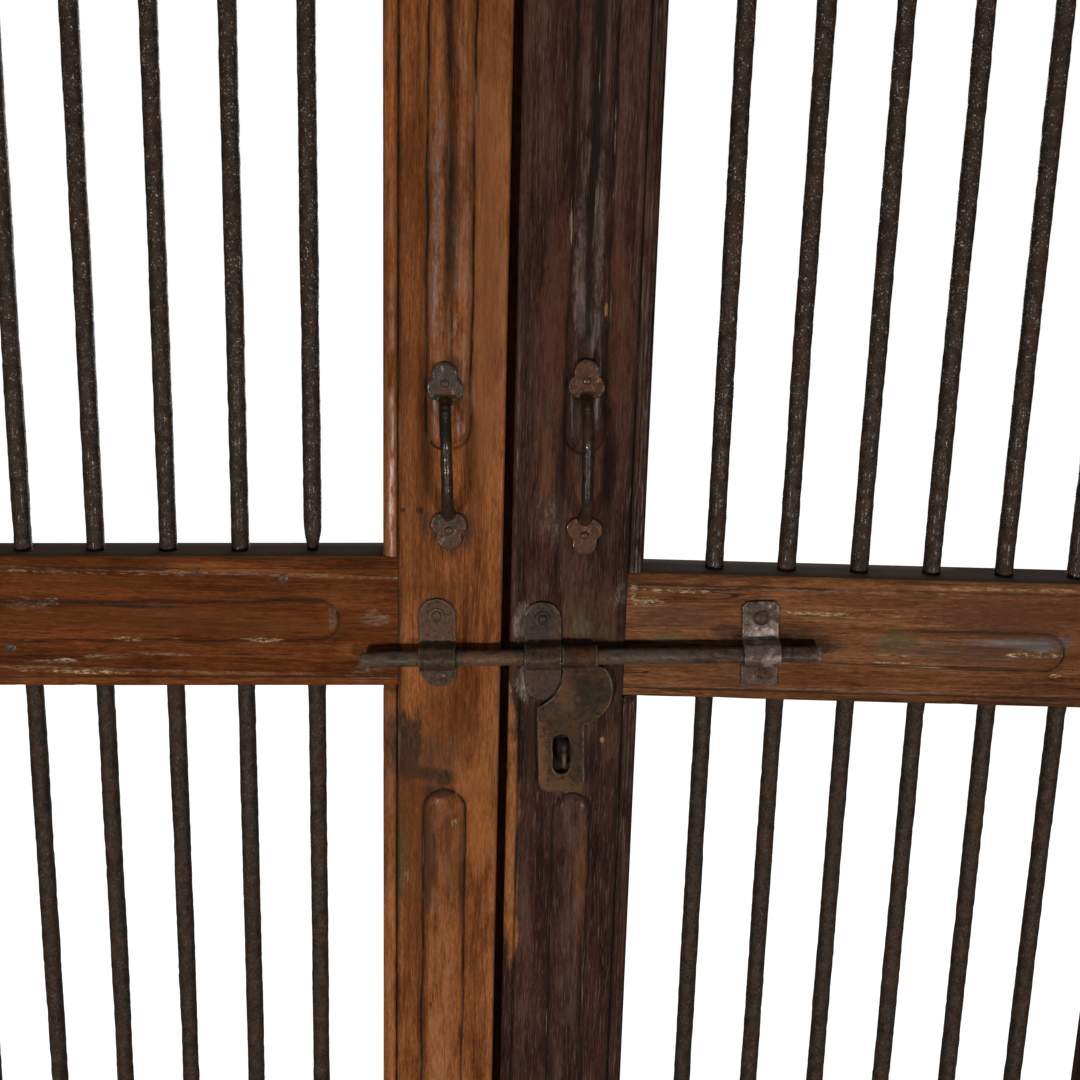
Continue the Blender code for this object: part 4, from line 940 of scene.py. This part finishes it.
bar_iron = iron(
    "bar_iron", (0.0225, 0.0132, 0.0082), (0.033, 0.014, 0.0065), rust_share=0.35, pit_size=0.0026,
    pit_depth=0.0013, dullness=0.31, bright=0.10, glints=0.12, painted_glints=0.8)
for leaf in ("left", "right"):
    for level in ("upper", "lower"):
        for number in range(1, 7):
            name = "%s_%s_bar_%d" % (leaf, level, number)
            low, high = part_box(name)
            seed = number * 7 + (100 if level == "upper" else 200) + (0 if leaf == "left" else 50)
            shape = bar_form(high.z - low.z, name == "left_upper_bar_1", seed)
            middle = (low + high) / 2
            mesh = shape.mesh(name + "_hammered")
            mesh.transform(Matrix.Translation((middle.x, middle.y, low.z)))
            dress(name + "_hammered", mesh, bar_iron, leaf + "_leaf", "bar_iron", [name])

# The pull handles: each is one forging, a round rod bent out from two trefoil plates. A domed nail holds
# each plate. They were driven on slightly askew, and their rods lean to one side.
HANDLES = {
    "left": (-0.0476, 1.1219, math.radians(2.0), 0.0023),
    "right": (0.0589, 1.1238, math.radians(1.1), 0.0014),
}
HANDLE_SPANS = {"left": 0.116, "right": 0.122}
HANDLE_SEATS = {1: BAND_HEIGHT + FIT, -1: FIT}
HANDLE_REACH = 0.04
HANDLE_ROD, ROD_SHARE, ROD_SWELL = 0.0095, 0.96, 0.24
HANDLE_BEND = 0.028
HANDLE_FOOT_INSET = 0.0145
TREFOIL_LOBES = ((0.0, 0.0062, 0.0098), (-0.0045, -0.0045, 0.0095), (0.0045, -0.0045, 0.0095))
TREFOIL_THICKNESS, TREFOIL_POINTS = 0.003, 72
VOXEL = 0.0007
DENT_PITCH, DENT_LIMITS = (0.009, 0.009, 0.009), (-1.6, 0.8)
NAIL_OVAL = 1.06


def tube(path, radii, sides):
    """Rings round a path; the path is rows x 3, and it lies in a plane of constant x."""
    ahead = np.gradient(path, axis=0)
    ahead = ahead / np.linalg.norm(ahead, axis=1, keepdims=True)
    across = np.array([1.0, 0.0, 0.0])
    outward = np.cross(ahead, across)
    angles = turns(sides)
    ring = np.cos(angles)[None, :, None] * outward[:, None, :] + np.sin(angles)[None, :, None] * across
    return path[:, None, :] + ring * np.asarray(radii)[:, None, None]


def arc(centre, radius, start, end, steps):
    """Points along an arc, with angles in degrees."""
    angles = np.radians(np.linspace(start, end, steps + 1))
    return [(centre[0] + radius * math.cos(a), centre[1] + radius * math.sin(a)) for a in angles]


def trefoil(upside):
    """Outline of three round lobes, the single one pointing up or down."""
    outline = []
    for angle in turns(TREFOIL_POINTS):
        ray = (math.cos(angle), math.sin(angle))
        reach = 0.0
        for a, b, radius in TREFOIL_LOBES:
            along = ray[0] * a + ray[1] * b
            aside = abs(ray[0] * b - ray[1] * a)
            if aside < radius:
                reach = max(reach, along + math.sqrt(radius ** 2 - aside ** 2))
        outline.append((ray[0] * reach, ray[1] * reach * upside))
    return outline


def forged(form, name, voxel, dents, seed):
    """Rough shapes welded into one skin, with its edges eased and its surface beaten slightly uneven."""
    rough = linked("rough_" + name, form.mesh("rough_" + name))
    weld = rough.modifiers.new("weld", "REMESH")
    weld.mode = "VOXEL"
    weld.voxel_size = voxel
    ease = rough.modifiers.new("ease", "SMOOTH")
    ease.factor = 0.5
    ease.iterations = 5
    view = bpy.context.evaluated_depsgraph_get()
    made = bpy.data.meshes.new_from_object(rough.evaluated_get(view))
    made.name = name
    bpy.data.objects.remove(rough)
    count = len(made.vertices)
    points = np.empty(count * 3)
    made.vertices.foreach_get("co", points)
    points = points.reshape(-1, 3)
    normals = np.empty(count * 3)
    made.vertices.foreach_get("normal", normals)
    push = dents * np.clip(swell(points, DENT_PITCH, seed), *DENT_LIMITS)
    points = points + normals.reshape(-1, 3) * push[:, None]
    made.vertices.foreach_set("co", points.ravel())
    made.update()
    made.shade_smooth()
    return made


def prism(form, outline, near, far, place):
    """Flat shape between two depths; place(a, b, depth) gives points."""
    rings = [[place(a, b, depth) for a, b in outline] for depth in (near, far)]
    form.loft(np.array(rings))


def on_handle(leaf, across, up, out):
    """Point in a handle's own directions: across it, up along it and out from the face."""
    x, z, tilt, lean = HANDLES[leaf]
    aside = across + lean * (out / HANDLE_REACH) ** 2
    return x + aside - up * math.sin(tilt), FACE_Y - out, z + up * math.cos(tilt)


def handle_form(leaf):
    form = Form()
    path = []
    radii = []
    span = HANDLE_SPANS[leaf]
    for end, seat in HANDLE_SEATS.items():
        centre = end * span / 2
        prism(form, trefoil(end), seat, seat + TREFOIL_THICKNESS,
              lambda a, b, out: on_handle(leaf, a, centre + b, out))
        foot = span / 2 - HANDLE_FOOT_INSET
        grip = HANDLE_REACH - HANDLE_ROD / 2
        leg = [(seat + 0.0015, foot)]
        leg += arc((grip - HANDLE_BEND, foot - HANDLE_BEND), HANDLE_BEND, 90, 0, 14)
        leg += [(grip, foot * 0.2)]
        points = [on_handle(leaf, 0.0, end * up, out) for out, up in leg]
        thick = [
            HANDLE_ROD / 2 * (ROD_SHARE + ROD_SWELL * math.exp(-step / 2.5)) for step in range(len(leg))]
        path += points if end > 0 else points[::-1]
        radii += thick if end > 0 else thick[::-1]
    form.loft(tube(np.array(path), radii, 20))
    return form


def turned(form, profile, sides, place):
    """Turned shape from (radius, height) points; place(a, b, height) gives points."""
    rings = [
        [place(radius * math.cos(angle), radius * math.sin(angle), height) for angle in turns(sides)]
        for radius, height in profile]
    form.loft(np.array(rings))


def dome(radius, height, degrees):
    """Profile of a rounded head, from its rim up."""
    return [(radius * math.cos(math.radians(a)), height * math.sin(math.radians(a))) for a in degrees]


def nail_head(form, x, z, seat, radius, height):
    """Hand-made domed nail head that stands on a face at y = seat."""
    profile = [(radius, -0.0005), (radius, 0.0002)] + dome(radius, height, (20, 40, 60, 78))
    turned(form, profile, 16, lambda a, b, out: (x + a * NAIL_OVAL, seat - out, z + b))


RUST = (0.054, 0.022, 0.010)
left_handle_spots = [
    ((-0.0456, -0.012, 1.063), (0.024, 0.012, 0.022), (0.054, 0.028, 0.016), 0.85),
    ((-0.0496, -0.014, 1.181), (0.024, 0.012, 0.022), (0.038, 0.030, 0.023), 0.75),
    ((-0.0470, -0.034, 1.088), (0.020, 0.030, 0.022), (0.022, 0.013, 0.009), 0.8),
    ((-0.0494, -0.014, 1.173), (0.012, 0.012, 0.008), RUST, 0.7),
]
right_handle_spots = [
    ((0.0575, -0.014, 1.184), (0.024, 0.012, 0.024), RUST, 0.85),
    ((0.0585, -0.036, 1.166), (0.020, 0.024, 0.024), (0.032, 0.015, 0.008), 0.85),
    ((0.0600, -0.036, 1.082), (0.020, 0.024, 0.020), (0.032, 0.015, 0.008), 0.85),
    ((0.0575, -0.011, 1.062), (0.024, 0.012, 0.024), RUST, 0.9),
]
handle_metal = {
    "skin": (0.020, 0.014, 0.011), "rust": (0.036, 0.019, 0.010), "rust_share": 0.3, "pit_size": 0.003,
    "pit_depth": 0.0003, "dullness": 0.22, "bright": 0.15, "glints": 0.5,
}
for leaf, spots in (("left", left_handle_spots), ("right", right_handle_spots)):
    name = leaf + "_handle"
    metal = iron(name + "_iron", spots=spots, **handle_metal)
    mesh = forged(handle_form(leaf), name + "_forging", VOXEL, dents=0.00016, seed=41)
    dress(name + "_forging", mesh, metal, leaf + "_leaf", "dark_iron", [name])
    nails = Form()
    for end, seat in HANDLE_SEATS.items():
        nail_up = end * HANDLE_SPANS[leaf] / 2
        nail_x, nail_y, nail_z = on_handle(leaf, 0.0, nail_up, seat + TREFOIL_THICKNESS)
        nail_head(nails, nail_x, nail_z, nail_y, radius=0.0034, height=0.0016)
    dress(name + "_nails", nails, metal, leaf + "_leaf", "dark_iron")

# The sliding bolt: a round iron rod, worn to grey metal where the straps rub it, with eased ends. It lies
# askew across both leaves.
BOLT_Z = 0.9632
BOLT_TILT = math.radians(2.27)
BOLT_OUT = 0.0115
BOLT_RADIUS = 0.0064
BOLT_START, BOLT_END = -0.114, 0.25
BOLT_EASE, BOLT_SIDES = 0.0016, 28
END_ROUND, BOLT_TAPER, TAPER_RUN = 0.24, 0.16, 0.03
BOLT_DENTS = (0.00022, (0.016, 0.008, 0.008)), (0.00010, (0.006, 0.004, 0.004))


def on_bolt(along, up, out):
    """Point in the bolt's own directions: along it, square to it up the door, and out from the face."""
    x = along * math.cos(BOLT_TILT) - up * math.sin(BOLT_TILT)
    z = along * math.sin(BOLT_TILT) + up * math.cos(BOLT_TILT)
    return x, FACE_Y - out, BOLT_Z + z


def bolt_form():
    end_steps = np.array([0.0, 0.0003, 0.0008, BOLT_EASE])
    shaft = np.linspace(BOLT_START + 0.004, BOLT_END - 0.004, 110)
    rows = np.concatenate([BOLT_START + end_steps, shaft, BOLT_END - end_steps[::-1]])
    from_end = np.minimum(rows - BOLT_START, BOLT_END - rows)
    ease = 1.0 - END_ROUND * (1.0 - np.clip(from_end / BOLT_EASE, 0.0, 1.0)) ** 2
    ease = ease * (1.0 - BOLT_TAPER + BOLT_TAPER * eased((rows - BOLT_START) / TAPER_RUN))
    along, angle = np.meshgrid(rows, turns(BOLT_SIDES), indexing="ij")
    skin = np.stack([along, np.cos(angle) * BOLT_RADIUS, np.sin(angle) * BOLT_RADIUS], axis=-1)
    dents = sum(deep * swell(skin, pitch, 61 + number) for number, (deep, pitch) in enumerate(BOLT_DENTS))
    radius = BOLT_RADIUS * ease[:, None] + np.minimum(dents, 0.0)
    rings = on_bolt(along, np.cos(angle) * radius, BOLT_OUT + np.sin(angle) * radius)
    return lofted(np.stack(rings, axis=-1))


bolt_spots = [
    ((-0.105, -0.02, 0.959), (0.024, 0.02, 0.02), (0.056, 0.044, 0.028), 0.6),
    ((-0.070, -0.02, 0.960), (0.016, 0.02, 0.02), (0.070, 0.048, 0.030), 0.6),
    ((-0.012, -0.02, 0.963), (0.026, 0.02, 0.02), (0.100, 0.047, 0.025), 0.6),
    ((0.110, -0.02, 0.968), (0.050, 0.02, 0.02), (0.070, 0.048, 0.034), 0.5),
]
bolt_iron = iron(
    "bolt_iron", (0.032, 0.021, 0.015), (0.052, 0.022, 0.010), rust_share=0.5, pit_size=0.0045,
    pit_depth=0.0016, dullness=0.32, bright=0.4, glints=0.15, spots=bolt_spots)
dress("bolt_rod", bolt_form(), bolt_iron, "bolt", "dark_iron", ["bolt"])

# The staples: three iron straps bent over the bolt, flat on the timber above and below it, each held by a
# round-headed bolt. The left and middle ones have round ends, the right one is square and worn to grey.
STAPLE_WIDTH = 0.029
STRAP_THICKNESS = 0.003
STAPLE_BORE = BOLT_RADIUS + 0.0006
STAPLE_BOLT_SETBACK = 0.0135
STAPLE_HEAD, STAPLE_DOME = 0.00625, 0.0032
LOWER_NAIL = 0.0095
RIVET_SHANK, RIVET_LENGTH = 0.0035, 0.034
STRAP_TURN, SQUARE_CORNER = 0.003, 0.004
STRAP_VOXEL = 0.0006
STRAP_BENDS = ((0.0012, 0.0006), (0.0002, 0.0024))
STRAP_SECTION = [(a, -1) for a in (-1, -0.6, 0, 0.6, 1)] + [(a, 1) for a in (1, 0.6, 0, -0.6, -1)]
ringed_head = [
    (0.00625, 0.0), (0.00622, 0.0008), (0.0058, 0.0013), (0.0052, 0.0013), (0.0046, 0.0006),
    (0.0040, 0.0005), (0.0035, 0.0008), (0.0032, 0.0016), (0.0026, 0.0023), (0.0015, 0.0027),
    (0.0006, 0.0028)]
domed_head = dome(STAPLE_HEAD, STAPLE_DOME, range(0, 86, 10))
STAPLES = {
    "left_staple": (-0.053, 0.0466, 0.0272, False, 0.0, "left_leaf"),
    "middle_staple": (0.0305, 0.043, 0.039, False, 0.0, "right_leaf"),
    "right_staple": (0.203, 0.041, 0.029, True, -RAIL_SETBACK, "right_leaf"),
}


def strap_form(along, rise, fall, square, face):
    """Strap as a chain of rounded sections that follow its bend and its end outline."""
    middle = STAPLE_BORE + STRAP_THICKNESS / 2
    flat = face + FIT + STRAP_THICKNESS / 2
    path = [(up, flat) for up in np.linspace(rise, middle + STRAP_TURN, 30)]
    path += [(middle + up, flat + out) for up, out in STRAP_BENDS]
    path += [(up, BOLT_OUT + out) for up, out in arc((0.0, 0.0), middle, 6, 174, 26)]
    path += [(-middle - up, flat + out) for up, out in STRAP_BENDS[::-1]]
    path += [(up, flat) for up in np.linspace(-middle - STRAP_TURN, -fall, 24)]
    path = np.array(path)
    ahead = np.gradient(path, axis=0)
    ahead = ahead / np.linalg.norm(ahead, axis=1, keepdims=True)
    outward = np.stack([ahead[:, 1], -ahead[:, 0]], axis=1)
    half = STAPLE_WIDTH / 2
    rings = []
    for (up, out), normal in zip(path, outward):
        end = min(rise - up, up + fall)
        if square:
            width = half - SQUARE_CORNER * (1.0 - min(1.0, max(0.0, rise - up) / SQUARE_CORNER))
        else:
            width = math.sqrt(max(1e-8, half ** 2 - max(0.0, half - end) ** 2))
        ring = []
        for a, b in STRAP_SECTION:
            lift = b * STRAP_THICKNESS / 2
            ring.append(on_bolt(along + a * width, up + normal[0] * lift, out + normal[1] * lift))
        rings.append(ring)
    return lofted(np.array(rings))


staple_spots = [
    ((-0.053, -0.012, 0.980), (0.022, 0.020, 0.032), (0.060, 0.034, 0.018), 0.45),
    ((0.0300, -0.012, 0.990), (0.020, 0.020, 0.030), (0.019, 0.013, 0.010), 0.8),
    ((0.0310, -0.012, 0.938), (0.018, 0.020, 0.020), (0.030, 0.017, 0.012), 0.7),
]
dark_iron = iron(
    "dark_iron", (0.040, 0.024, 0.015), (0.062, 0.028, 0.013), rust_share=0.40, pit_size=0.0035,
    pit_depth=0.0005, dullness=0.30, bright=0.3, glints=0.2, spots=staple_spots)
worn_spots = [
    ((0.2016, -0.012, 1.003), (0.020, 0.020, 0.011), (0.028, 0.019, 0.015), 0.7),
    ((0.2020, -0.012, 0.986), (0.017, 0.012, 0.006), (0.210, 0.160, 0.135), 0.6),
    ((0.2090, -0.024, 0.970), (0.009, 0.020, 0.008), (0.200, 0.150, 0.125), 0.55),
    ((0.2030, -0.012, 0.950), (0.018, 0.020, 0.011), (0.036, 0.018, 0.013), 0.7),
]
worn_iron = iron(
    "worn_iron", (0.086, 0.056, 0.046), (0.054, 0.030, 0.021), rust_share=0.4, pit_size=0.006,
    pit_depth=0.0003, dullness=0.34, bright=0.6, glints=0.2, spots=worn_spots)
for name, (along, rise, fall, square, face, body) in STAPLES.items():
    strap = strap_form(along, rise, fall, square, face)
    mesh = forged(strap, name + "_strap", STRAP_VOXEL, dents=0.00012, seed=51)
    metal, slot = (worn_iron, "worn_iron") if square else (dark_iron, "dark_iron")
    dress(name + "_strap", mesh, metal, body, slot, [name])
    level = rise - STAPLE_BOLT_SETBACK
    seat = face + 2 * FIT + STRAP_THICKNESS
    rivet = Form()
    profile = [(RIVET_SHANK, face - RIVET_LENGTH), (RIVET_SHANK, seat), (STAPLE_HEAD * 0.96, seat - 0.0001)]
    profile += [(radius, seat + out) for radius, out in (domed_head if square else ringed_head)]
    turned(rivet, profile, 28, lambda a, b, out: on_bolt(along + a, level + b * 0.97, out))
    dress(name + "_rivet", rivet, dark_iron, body, "dark_iron", [name + "_bolt"])
    if name != "middle_staple":
        nail = Form()
        turned(nail, [(radius * 0.85, seat - FIT + out * 0.6) for radius, out in domed_head], 24,
               lambda a, b, out: on_bolt(along + 0.001 + a, LOWER_NAIL - fall + b, out))
        dress(name + "_lower_nail", nail, dark_iron, body, "dark_iron")

# The hasp: a cut iron plate, brown with rust and worn bright along its right rim, rolled to an eye round
# the bolt. Its slot hangs over the padlock eye, a loop of wire driven into the right stile.
HASP_BACK, HASP_FRONT = 0.0039, 0.0069
HASP_EYE_START, HASP_EYE_END = 0.0458, 0.0735
HASP_EYE_WALL = 0.0022
HASP_LEFT, HASP_RIGHT, HASP_DROP, HASP_CORNER = 0.0251, 0.0626, 0.118, 0.010
HASP_HOLLOW = (0.0153, 0.015, 0.0305)
HASP_BULGE = (0.0555, 0.03, 0.0304)
SLOT_DROP, SLOT_HALF_WIDTH, SLOT_HALF_HEIGHT = 0.0847, 0.0065, 0.01725
EYE_ALONG, EYE_HALF, EYE_WIRE, EYE_CROWN = 0.04635, 0.009, 0.002, 0.0171
HASP_EYE_SIDES, HASP_EYE_PLAY = 48, 0.0003


def hasp_outline():
    """Hasp plate as (along, drop): hollow beside the middle staple, bulging on the right, slim below."""
    hollow_end = math.degrees(math.acos((HASP_LEFT - HASP_HOLLOW[0]) / HASP_HOLLOW[2]))
    bulge_end = math.degrees(math.acos((HASP_RIGHT - HASP_BULGE[0]) / HASP_BULGE[2]))
    shoulder = HASP_EYE_WALL + BOLT_RADIUS + 0.0008
    bulge_start = -math.degrees(math.asin((HASP_BULGE[1] - shoulder - HASP_EYE_WALL) / HASP_BULGE[2]))
    low = HASP_DROP - HASP_CORNER
    points = [(HASP_EYE_START, 0.0)]
    points += arc(HASP_HOLLOW[:2], HASP_HOLLOW[2], 0, hollow_end, 14)
    points += arc((HASP_LEFT + HASP_CORNER, low), HASP_CORNER, 180, 90, 8)
    points += arc((HASP_RIGHT - HASP_CORNER, low), HASP_CORNER, 90, 0, 8)
    points += arc(HASP_BULGE[:2], HASP_BULGE[2], bulge_end, bulge_start, 20)
    return points + [(HASP_EYE_END, shoulder), (HASP_EYE_END, 0.0)]


def hasp_form():
    """Flat plate with its slot as one skin, and the rolled eye as a second one that overlaps it."""
    slot_middle = (HASP_LEFT + HASP_RIGHT) / 2
    straight = SLOT_HALF_HEIGHT - SLOT_HALF_WIDTH
    slot = arc((slot_middle, SLOT_DROP + straight), SLOT_HALF_WIDTH, 0, 180, 12)
    slot += arc((slot_middle, SLOT_DROP - straight), SLOT_HALF_WIDTH, 180, 360, 12)
    plate = bmesh.new()
    edges = []
    for outline in (hasp_outline(), slot):
        loop = [plate.verts.new(on_bolt(along, -drop, HASP_BACK)) for along, drop in outline]
        edges += [plate.edges.new((a, b)) for a, b in zip(loop, loop[1:] + loop[:1])]
    filled = bmesh.ops.triangle_fill(plate, edges=edges, use_beauty=True)
    faces = [item for item in filled["geom"] if isinstance(item, bmesh.types.BMFace)]
    risen = bmesh.ops.extrude_face_region(plate, geom=faces)
    top = [item for item in risen["geom"] if isinstance(item, bmesh.types.BMVert)]
    bmesh.ops.translate(plate, verts=top, vec=(0.0, HASP_BACK - HASP_FRONT, 0.0))
    plate.verts.index_update()
    form = Form()
    form.points.append(np.array([vert.co[:] for vert in plate.verts]))
    form.marks.append(np.zeros((len(plate.verts), 2)))
    form.faces += [[vert.index for vert in face.verts] for face in plate.faces]
    form.count += len(plate.verts)
    plate.free()
    inner = BOLT_RADIUS + HASP_EYE_PLAY
    outer = inner + HASP_EYE_WALL
    section = (HASP_EYE_START, inner), (HASP_EYE_START, outer), (HASP_EYE_END, outer), (HASP_EYE_END, inner)
    angles = turns(HASP_EYE_SIDES)
    eye = [
        [on_bolt(along, radius * math.cos(angle), BOLT_OUT + radius * math.sin(angle)) for angle in angles]
        for along, radius in section]
    form.loft(np.array(eye), closed=True)
    return form


hasp_spots = [
    ((0.0300, -0.0146, 0.870), (0.010, 0.02, 0.045), (0.090, 0.037, 0.014), 0.8),
    ((0.0660, -0.0146, 0.935), (0.024, 0.02, 0.022), (0.014, 0.008, 0.005), 0.85),
    ((0.0480, -0.0146, 0.883), (0.016, 0.02, 0.028), (0.030, 0.016, 0.008), 0.8),
    ((0.0480, -0.0146, 0.852), (0.022, 0.02, 0.012), (0.070, 0.033, 0.014), 0.7),
    ((0.0500, -0.0146, 0.930), (0.010, 0.02, 0.020), (0.066, 0.034, 0.016), 0.6),
]
hasp_iron = iron(
    "hasp_iron", (0.025, 0.013, 0.006), (0.046, 0.019, 0.007), rust_share=0.6, pit_size=0.005,
    pit_depth=0.00035, dullness=0.36, bright=0.5, glints=0.1, spots=hasp_spots)
hasp_mesh = forged(hasp_form(), "hasp_plate", VOXEL, dents=0.00012, seed=57)
dress("hasp_plate", hasp_mesh, hasp_iron, "hasp", "hasp_iron", ["hasp"])

eye_leg = [(EYE_HALF, out) for out in (-0.02, -0.008, 0.0, (EYE_CROWN - EYE_HALF - EYE_WIRE) / 2)]
loop_path = eye_leg + arc((0.0, EYE_CROWN - EYE_HALF), EYE_HALF, 0, 180, 22)
loop_path += [(-up, out) for up, out in eye_leg[::-1]]
loop_points = np.array([on_bolt(EYE_ALONG, up - SLOT_DROP, out) for up, out in loop_path])
wire_radii = [EYE_WIRE * (0.96 + 0.04 * math.sin(step)) for step in range(len(loop_points))]
eye_wire = lofted(tube(loop_points, wire_radii, 18))
dress("padlock_eye_wire", eye_wire, dark_iron, "right_leaf", "dark_iron", ["padlock_eye"])

# The hinges: four iron butt hinges. Their plates and pins keep the solids' shape, with eased edges, and
# slotted screws hold the plates to the stiles and to the posts of a door frame.
DOOR_PLATE_FACE, JAMB_PLATE_FACE = 0.6071, 0.6101
HINGE_MIDDLES = (0.28, 1.75)
SCREW_STEP = 0.1 / 3
SCREW_RADIUS = 0.0042
SCREW_IN, SCREW_SLOT, SLOT_DEPTH = 0.018, 0.0007, 0.0008
SCREW_TOP = 0.0005
SLOT_TURN = 40.0
hinge_iron = iron(
    "hinge_iron", (0.060, 0.045, 0.037), (0.090, 0.042, 0.021), rust_share=0.5, pit_size=0.004,
    pit_depth=0.0004, dullness=0.42, bright=0.4, glints=0.1)
for name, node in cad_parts.items():
    if "_hinge_" in name:
        node.data.materials.clear()
        node.data.materials.append(hinge_iron)
        eased_edges = node.modifiers.new("eased_edges", "BEVEL")
        eased_edges.width = 0.0005
        eased_edges.segments = 2
        eased_edges.limit_method = "ANGLE"
        eased_edges.angle_limit = math.radians(40)


def screw_head(form, x, z, facing):
    """Slotted head on a hinge plate whose face looks along x. Each slot stands at an angle of its own."""
    turn_of_slot = z * SLOT_TURN

    def place(a, b, height):
        across = abs(a * math.cos(turn_of_slot) - b * math.sin(turn_of_slot))
        sunk = SLOT_DEPTH if height == SCREW_TOP and across < SCREW_SLOT else 0.0
        return x + facing * (height - sunk), FACE_Y + SCREW_IN + a, z + b

    profile = [(0.0024, -0.0022), (SCREW_RADIUS, -0.0001), (SCREW_RADIUS * 0.97, 0.0003)]
    profile += [(SCREW_RADIUS * share, SCREW_TOP) for share in (0.9, 0.7, 0.5, 0.3, 0.12)]
    turned(form, profile, 24, place)


for leaf, side in (("left", -1), ("right", 1)):
    plates = (
        ("door", leaf + "_leaf", DOOR_PLATE_FACE, side), ("jamb", "jamb_plates", JAMB_PLATE_FACE, -side))
    for plate, body, u, facing in plates:
        screws = Form()
        for middle in HINGE_MIDDLES:
            for step in (-1, 0, 1):
                screw_head(screws, side * u, middle + step * SCREW_STEP, facing)
        dress("%s_hinge_screws_%s" % (leaf, plate), screws, hinge_iron, body, "dark_iron")

# Nails: hand-made iron heads left in the left lock rail, and a row of them that holds the cover strip
# from behind.
STRIP_NAIL_X = -0.012
rail_nails = Form()
for x, z, radius in ((-0.1758, 1.0199, 0.0036), (-0.3947, 0.9562, 0.0042), (-0.2434, 1.0237, 0.0028)):
    nail_head(rail_nails, x, z, FACE_Y + RAIL_SETBACK, radius, height=0.0010)
dress("left_rail_nails", rail_nails, dark_iron, "left_leaf", "dark_iron")
strip_nails = Form()
for z in np.linspace(0.08, 1.95, 9):
    turned(strip_nails, [(0.0035, -0.0006), (0.0035, 0.0002), (0.0026, 0.0009), (0.0012, 0.0012)], 14,
           lambda a, b, out: (STRIP_NAIL_X + a, strip_high.y - BACK_SETBACK + out * 0.15, z + b))
dress("cover_strip_nails", strip_nails, dark_iron, "left_leaf", "dark_iron")
